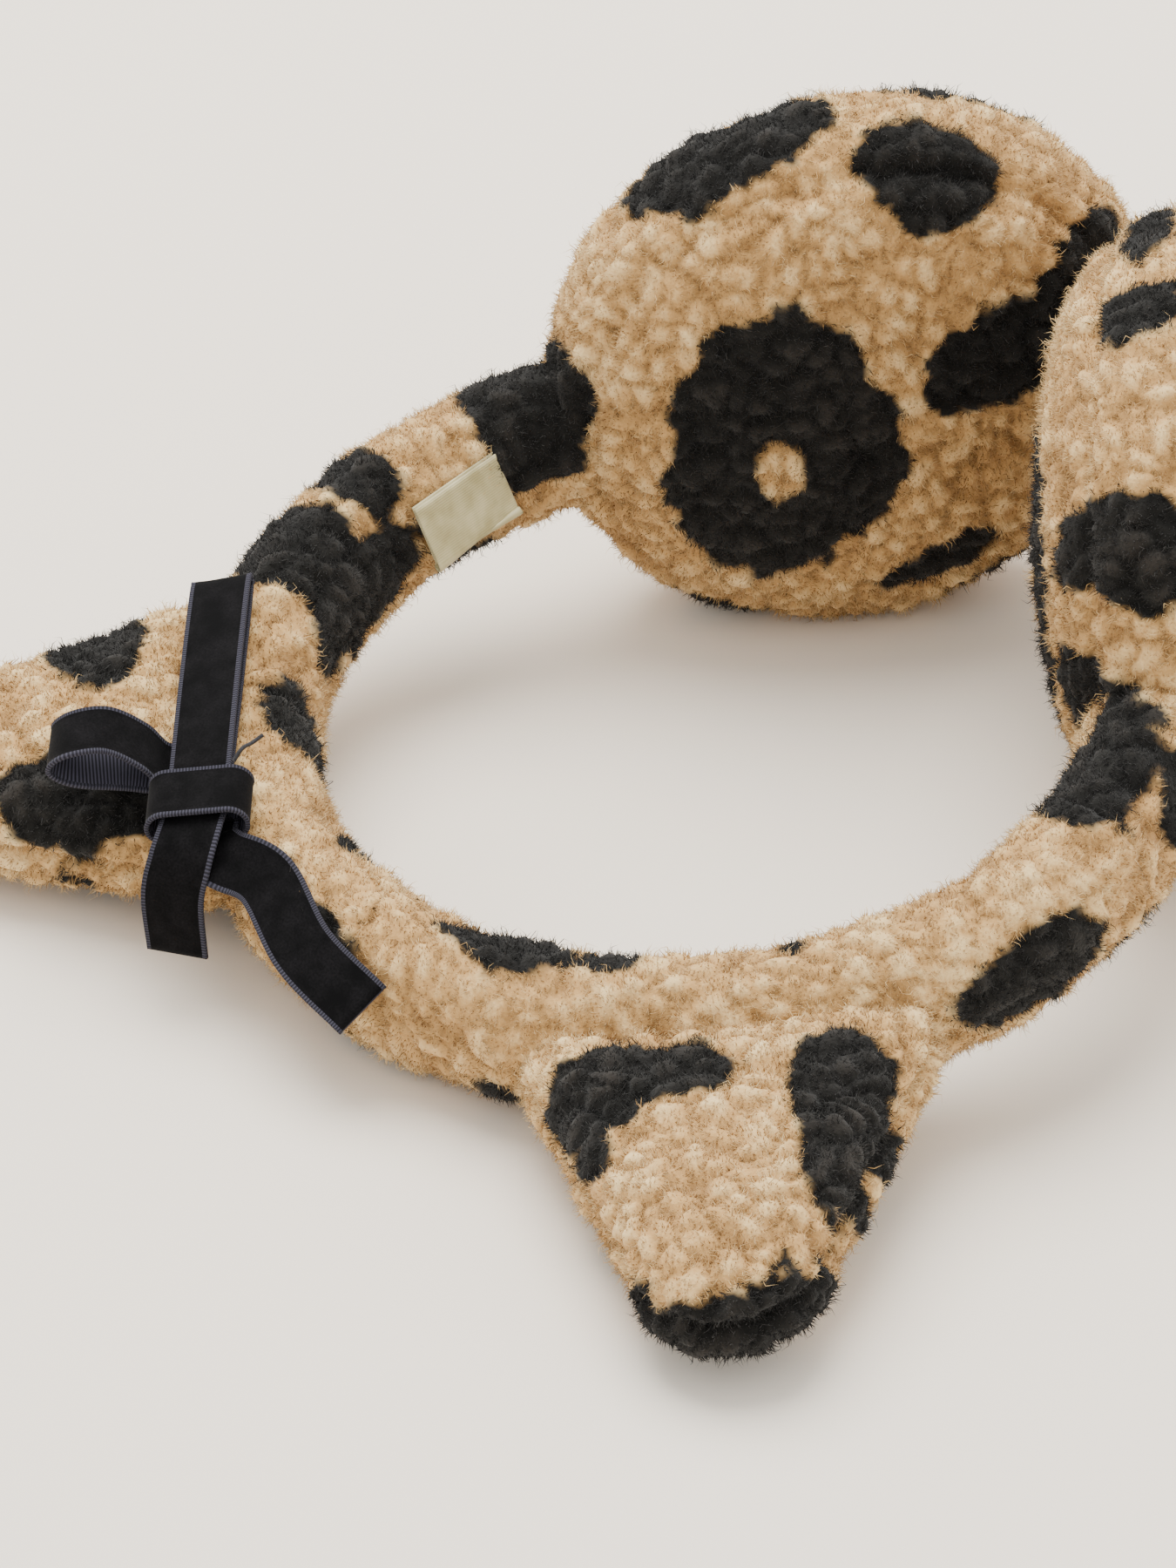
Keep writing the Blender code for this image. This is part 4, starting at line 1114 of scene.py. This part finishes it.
def strip(name, route, sides, width, thickness, place, finish, bead=0.0, closed=False,
          face_sign=1):
    """A woven strip along a route in millimetres: a flat section with beaded edges."""
    route = np.array(route) * MM
    count = len(route)
    shares = np.linspace(0, 1, count)[:, None]
    across = np.array(sides[0]) * (1 - shares) + np.array(sides[-1]) * shares
    steps = np.linalg.norm(np.diff(route, axis=0), axis=1)
    run = np.concatenate([[0], np.cumsum(steps)])
    cut = run[-1] + (np.linalg.norm(route[0] - route[-1]) if closed else 0)
    if closed:
        ahead = np.roll(route, -1, axis=0) - np.roll(route, 1, axis=0)
    else:
        ahead = np.gradient(route, axis=0)
    ahead /= np.linalg.norm(ahead, axis=1)[:, None]
    across = across - ahead * (across * ahead).sum(1)[:, None]
    across /= np.linalg.norm(across, axis=1)[:, None]
    face = np.cross(ahead, across)
    half, thin = width / 2, thickness / 2
    lines = np.linspace(-0.93, 0.93, 9)
    section = [(share * half, thin) for share in lines]
    section += [((0.97) * half, thin + bead), (half, thin * 0.6 + bead * 0.5), (half, -thin * 0.6),
                (0.97 * half, -thin - bead * 0.6)]
    section += [(-share * half, -thin) for share in lines]
    section += [(-0.97 * half, -thin - bead * 0.6), (-half, -thin * 0.6),
                (-half, thin * 0.6 + bead * 0.5), (-0.97 * half, thin + bead)]
    section = np.array(section)
    around = len(section)
    points = (route[:, None] + across[:, None] * section[None, :, :1]
              + face[:, None] * section[None, :, 1:])
    first = np.arange(count if closed else count - 1)
    quads = []
    for index in range(around):
        after = (index + 1) % around
        near, far = first * around, (first + 1) % count * around
        quads.append(np.stack([near + index, near + after, far + after, far + index], axis=1))
    faces = [np.concatenate(quads)]
    if not closed:
        faces += [np.arange(around)[None, :],
                  (np.arange(around)[::-1] + (count - 1) * around)[None, :]]
    made = from_arrays(name, moved(points.reshape(-1, 3), place), faces, finish)
    only(made)
    bpy.ops.object.mode_set(mode="EDIT")
    bpy.ops.mesh.select_all(action="SELECT")
    bpy.ops.mesh.normals_make_consistent(inside=False)
    bpy.ops.object.mode_set(mode="OBJECT")
    store(made, "across", np.tile(section[:, 0] / half, count))
    store(made, "along", np.repeat(run / MM, around))
    store(made, "back", np.tile((section[:, 1] * face_sign < 0).astype(float), count))
    return made, float(cut)


def beside_band(angle, out, up):
    """A place by the sleeve, from degrees along it and millimetres out and up, in the bow's axes."""
    turn = math.radians(angle)
    rise = Vector((0, 0, chosen().band.half_width + up * MM))
    place = band_point(turn) + outward(turn) * out * MM + rise
    return bow_axes().inverted() @ (band_axes() @ place) / MM


def ribbon_routes():
    """Each ribbon's route in the bow's axes, in millimetres, and its width's direction."""
    width = chosen().ribbon.width / MM
    beside = width + chosen().ribbon.clearance / MM
    return {
        "bow_upper_loop": ([
            (1, 0, layer(4)), (9, 0, layer(3.3)), (28, 0, layer(2.3)), (48, 0, layer(1.9)),
            (50, 0, layer(2.8)), (48, 0, layer(4.4)), (28, 0, layer(5.2)), (9, 0, layer(5.2)),
            (1, 0, layer(5))], ((0, 1, -0.12), (0, 1, -0.12))),
        "bow_side_loop": ([
            (beside, 1, layer(0.4)), (beside, 6, layer(0.6)), (beside, 12.5, layer(2.5)),
            (beside - 1, 20, layer(5.5)), (beside - 1, 23, layer(9)), (beside - 1, 20, layer(12)),
            (beside, 14, layer(11.5)), (beside, 9, layer(7)), (beside, 6.5, layer(2.1)),
            (beside, 4, layer(1.4)), (beside, 1, layer(1.4))], ((1, 0, 0), (1, 0, 0))),
        "bow_lower_tail": ([
            (-1, 0, layer(4.5)), (-7, 1, layer(4.5)), (-11, 2.5, layer(2)),
            (-13.5, 4.5, layer(-4)), (-15, 5.5, layer(-15))], ((0, 1, 0), (0.3, 1, 0))),
        "bow_side_tail": ([
            (-2, -1, layer(1)), (-width / 2 - 1, -1.2, layer(0.9)),
            (-width / 2 - 4.5, -4, layer(0.4)), beside_band(-12.5, 7.5, 0),
            beside_band(-3, 11.2, -2.5), beside_band(6, 13.2, -5.7)],
            ((0, 1, 0), (-0.8, 0.75, -0.5))),
    }


def knot_route():
    """The wrap of the knot: up one side, over and down the other."""
    low, high = layer(0), layer(6.6)
    bend = (high - low) / 2
    half = 7.8 - bend
    route = []
    for end in (1, -1):
        for step in range(19):
            turn = math.radians(10 * step - 90)
            route.append((0, end * (half + bend * math.cos(turn)),
                          low + bend + end * bend * math.sin(turn)))
    return route


class EARMUFF_OT_bow(bpy.types.Operator):
    """The velvet ribbon bow at the foot of the left ear, with its thread end"""
    bl_idname = "earmuff.bow"
    bl_label = "Velvet Bow"

    def execute(self, context):
        ribbon = chosen().ribbon
        place = bow_axes()
        finish = nylon_velvet_material()
        for name, (points, sides) in ribbon_routes().items():
            made, run = strip(name + "_ribbon", smooth_path(points), sides, ribbon.width,
                              ribbon.thickness, place, finish, bead=0.12 * MM,
                              face_sign=1 if name == "bow_side_loop" else -1)
            self.hold(made, run, name)
        made, run = strip(
            "bow_knot_ribbon", knot_route(), ((1, 0, 0), (1, 0, 0)), ribbon.width,
            ribbon.thickness, place, finish, bead=0.12 * MM, closed=True)
        self.hold(made, run, "bow_knot")
        self.thread(place)
        return {"FINISHED"}

    def hold(self, made, run, node):
        if node == "bow_side_tail":
            bend_with(made)
        else:
            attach(made, "left_shoulder")
        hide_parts(node)

    def thread(self, place):
        points = smooth_path([(5.8, -5.5, 6.6), (7.2, -7, 7.8), (8.8, -8.2, 7.2), (10, -10, 7.6)])
        curve = bpy.data.curves.new("bow_thread_end", "CURVE")
        curve.dimensions = "3D"
        curve.bevel_depth = 0.32 * MM
        curve.bevel_resolution = 3
        curve.use_fill_caps = True
        spline = curve.splines.new("POLY")
        spline.points.add(len(points) - 1)
        for item, point in zip(spline.points, points):
            item.co = (*(place @ (Vector(point) * MM)), 1)
        made = bpy.data.objects.new("bow_thread_end", curve)
        bpy.context.scene.collection.objects.link(made)
        only(made)
        bpy.ops.object.convert(target="MESH")
        made = bpy.context.object
        made.data.materials.clear()
        made.data.materials.append(sewing_thread_material())
        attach(made, "left_shoulder")
        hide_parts("bow_thread")


class EARMUFF_OT_label(bpy.types.Operator):
    """The folded satin care label in the inner seam of the left arm"""
    bl_idname = "earmuff.label"
    bl_label = "Care Label"

    def execute(self, context):
        band = chosen().band
        angle = math.radians(-99)
        long, thick, wide = 11 * MM, 0.3 * MM, 18 * MM
        lean = Vector((0, -0.38, -0.92)).normalized()
        gap = 0.35 * MM
        route = []
        fold = ((-gap, 0), (-gap, 0.3), (-gap, 0.6), (-gap, 0.9), (-gap * 0.7, 0.97), (0, 1),
                (gap * 0.7, 0.97), (gap, 0.9), (gap, 0.6), (gap, 0.3), (gap, 0))
        for out, drop in fold:
            flat = lean * long * drop
            top = -band.half_thickness * 0.98
            point = band_point(angle) + outward(angle) * (top + flat.y + out)
            point.z = band.half_width * 0.68 + flat.z
            route.append(point / MM)
        along = (0, -1, 0)
        made, run = strip("care_label_tab", smooth_path(route, 4), (along, along), wide, thick,
                          band_axes(), woven_satin_material())
        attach(made, "left_arm")
        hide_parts("care_label")
        return {"FINISHED"}


# ------------------------------------------------------------------ inner parts

class EARMUFF_OT_inner(bpy.types.Operator):
    """The spring strip, foam, wadding, plates and rivets that the covers hold"""
    bl_idname = "earmuff.inner"
    bl_label = "Inner Parts"

    def execute(self, context):
        finishes = (
            (("band_spring", "band_end"), acetal_strip_material),
            (("band_foam", "inner_pad"), pu_foam_material),
            (("wadding",), fibrefill_material),
            (("ear_plate",), moulded_pp_material),
            (("rivet", "washer"), pressed_brass_material),
        )
        for name, node in frame["nodes"].items():
            for words, finish in finishes:
                if any(word in name for word in words):
                    node.material_slots[0].material = finish()
        return {"FINISHED"}


# ------------------------------------------------------------------ stage

def area_light(name, at, aim, size, power, tint):
    light = bpy.data.lights.new(name, "AREA")
    light.shape = "DISK"
    light.size = size
    light.energy = power
    light.color = tint
    made = bpy.data.objects.new(name, light)
    made.location = at
    made.rotation_euler = (Vector(aim) - Vector(at)).to_track_quat("-Z", "Y").to_euler()
    bpy.context.scene.collection.objects.link(made)


class EARMUFF_OT_stage(bpy.types.Operator):
    """A pale table top, soft studio light and the camera"""
    bl_idname = "earmuff.stage"
    bl_label = "Stage"

    def execute(self, context):
        stage = chosen().stage
        bpy.ops.object.select_all(action="DESELECT")
        bpy.ops.mesh.primitive_plane_add(size=14, location=(0, 0, 0))
        table = bpy.context.object
        table.name = "table_top"
        table.data.materials.append(table_top_material())
        world = bpy.data.worlds.new("studio")
        world.use_nodes = True
        background = world.node_tree.nodes["Background"]
        background.inputs["Color"].default_value = (1.0, 0.98, 0.95, 1)
        background.inputs["Strength"].default_value = 1.7
        context.scene.world = world
        area_light("softbox", (-0.5, 0.25, 1.6), (0, 0, 0), 1.5, 50, (1, 0.985, 0.95))
        self.camera(stage)
        return {"FINISHED"}

    def camera(self, stage):
        aim = Vector((-27.2 * MM, -6.5 * MM, 0))
        level = math.cos(stage.elevation)
        back = Vector((math.sin(stage.azimuth) * level, -math.cos(stage.azimuth) * level,
                       math.sin(stage.elevation)))
        right = Vector((math.cos(stage.azimuth), math.sin(stage.azimuth), 0))
        up = back.cross(right)
        turn, rise = math.cos(stage.roll), math.sin(stage.roll)
        lens = bpy.data.cameras.new("camera")
        lens.lens = stage.lens
        lens.sensor_width = 36
        lens.clip_start, lens.clip_end = 0.05, 30
        made = bpy.data.objects.new("camera", lens)
        made.matrix_world = axes(right * turn + up * rise, up * turn - right * rise, back,
                                 aim + back * stage.distance)
        bpy.context.scene.collection.objects.link(made)
        bpy.context.scene.camera = made


class EARMUFF_PT_panel(bpy.types.Panel):
    """Buttons that make each piece"""
    bl_label = "Earmuffs"
    bl_idname = "EARMUFF_PT_panel"
    bl_space_type = "VIEW_3D"
    bl_region_type = "UI"
    bl_category = "Earmuffs"

    def draw(self, context):
        for name in STEPS:
            self.layout.operator("earmuff." + name)


STEPS = ("stage", "sleeve", "cups", "ears", "bow", "label", "inner")
CLASSES = (
    FleeceSettings, BandSettings, CupSettings, EarSettings, RibbonSettings, StageSettings,
    EarmuffSettings, EARMUFF_OT_sleeve, EARMUFF_OT_cups, EARMUFF_OT_ears, EARMUFF_OT_bow,
    EARMUFF_OT_label, EARMUFF_OT_inner, EARMUFF_OT_stage, EARMUFF_PT_panel,
)


def register():
    for item in CLASSES:
        bpy.utils.register_class(item)
    bpy.types.Scene.earmuffs = bpy.props.PointerProperty(type=EarmuffSettings)


def unregister():
    del bpy.types.Scene.earmuffs
    for item in reversed(CLASSES):
        bpy.utils.unregister_class(item)


def main():
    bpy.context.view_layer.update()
    register()
    for name in STEPS:
        getattr(bpy.ops.earmuff, name)()


if __name__ == "__main__":
    main()
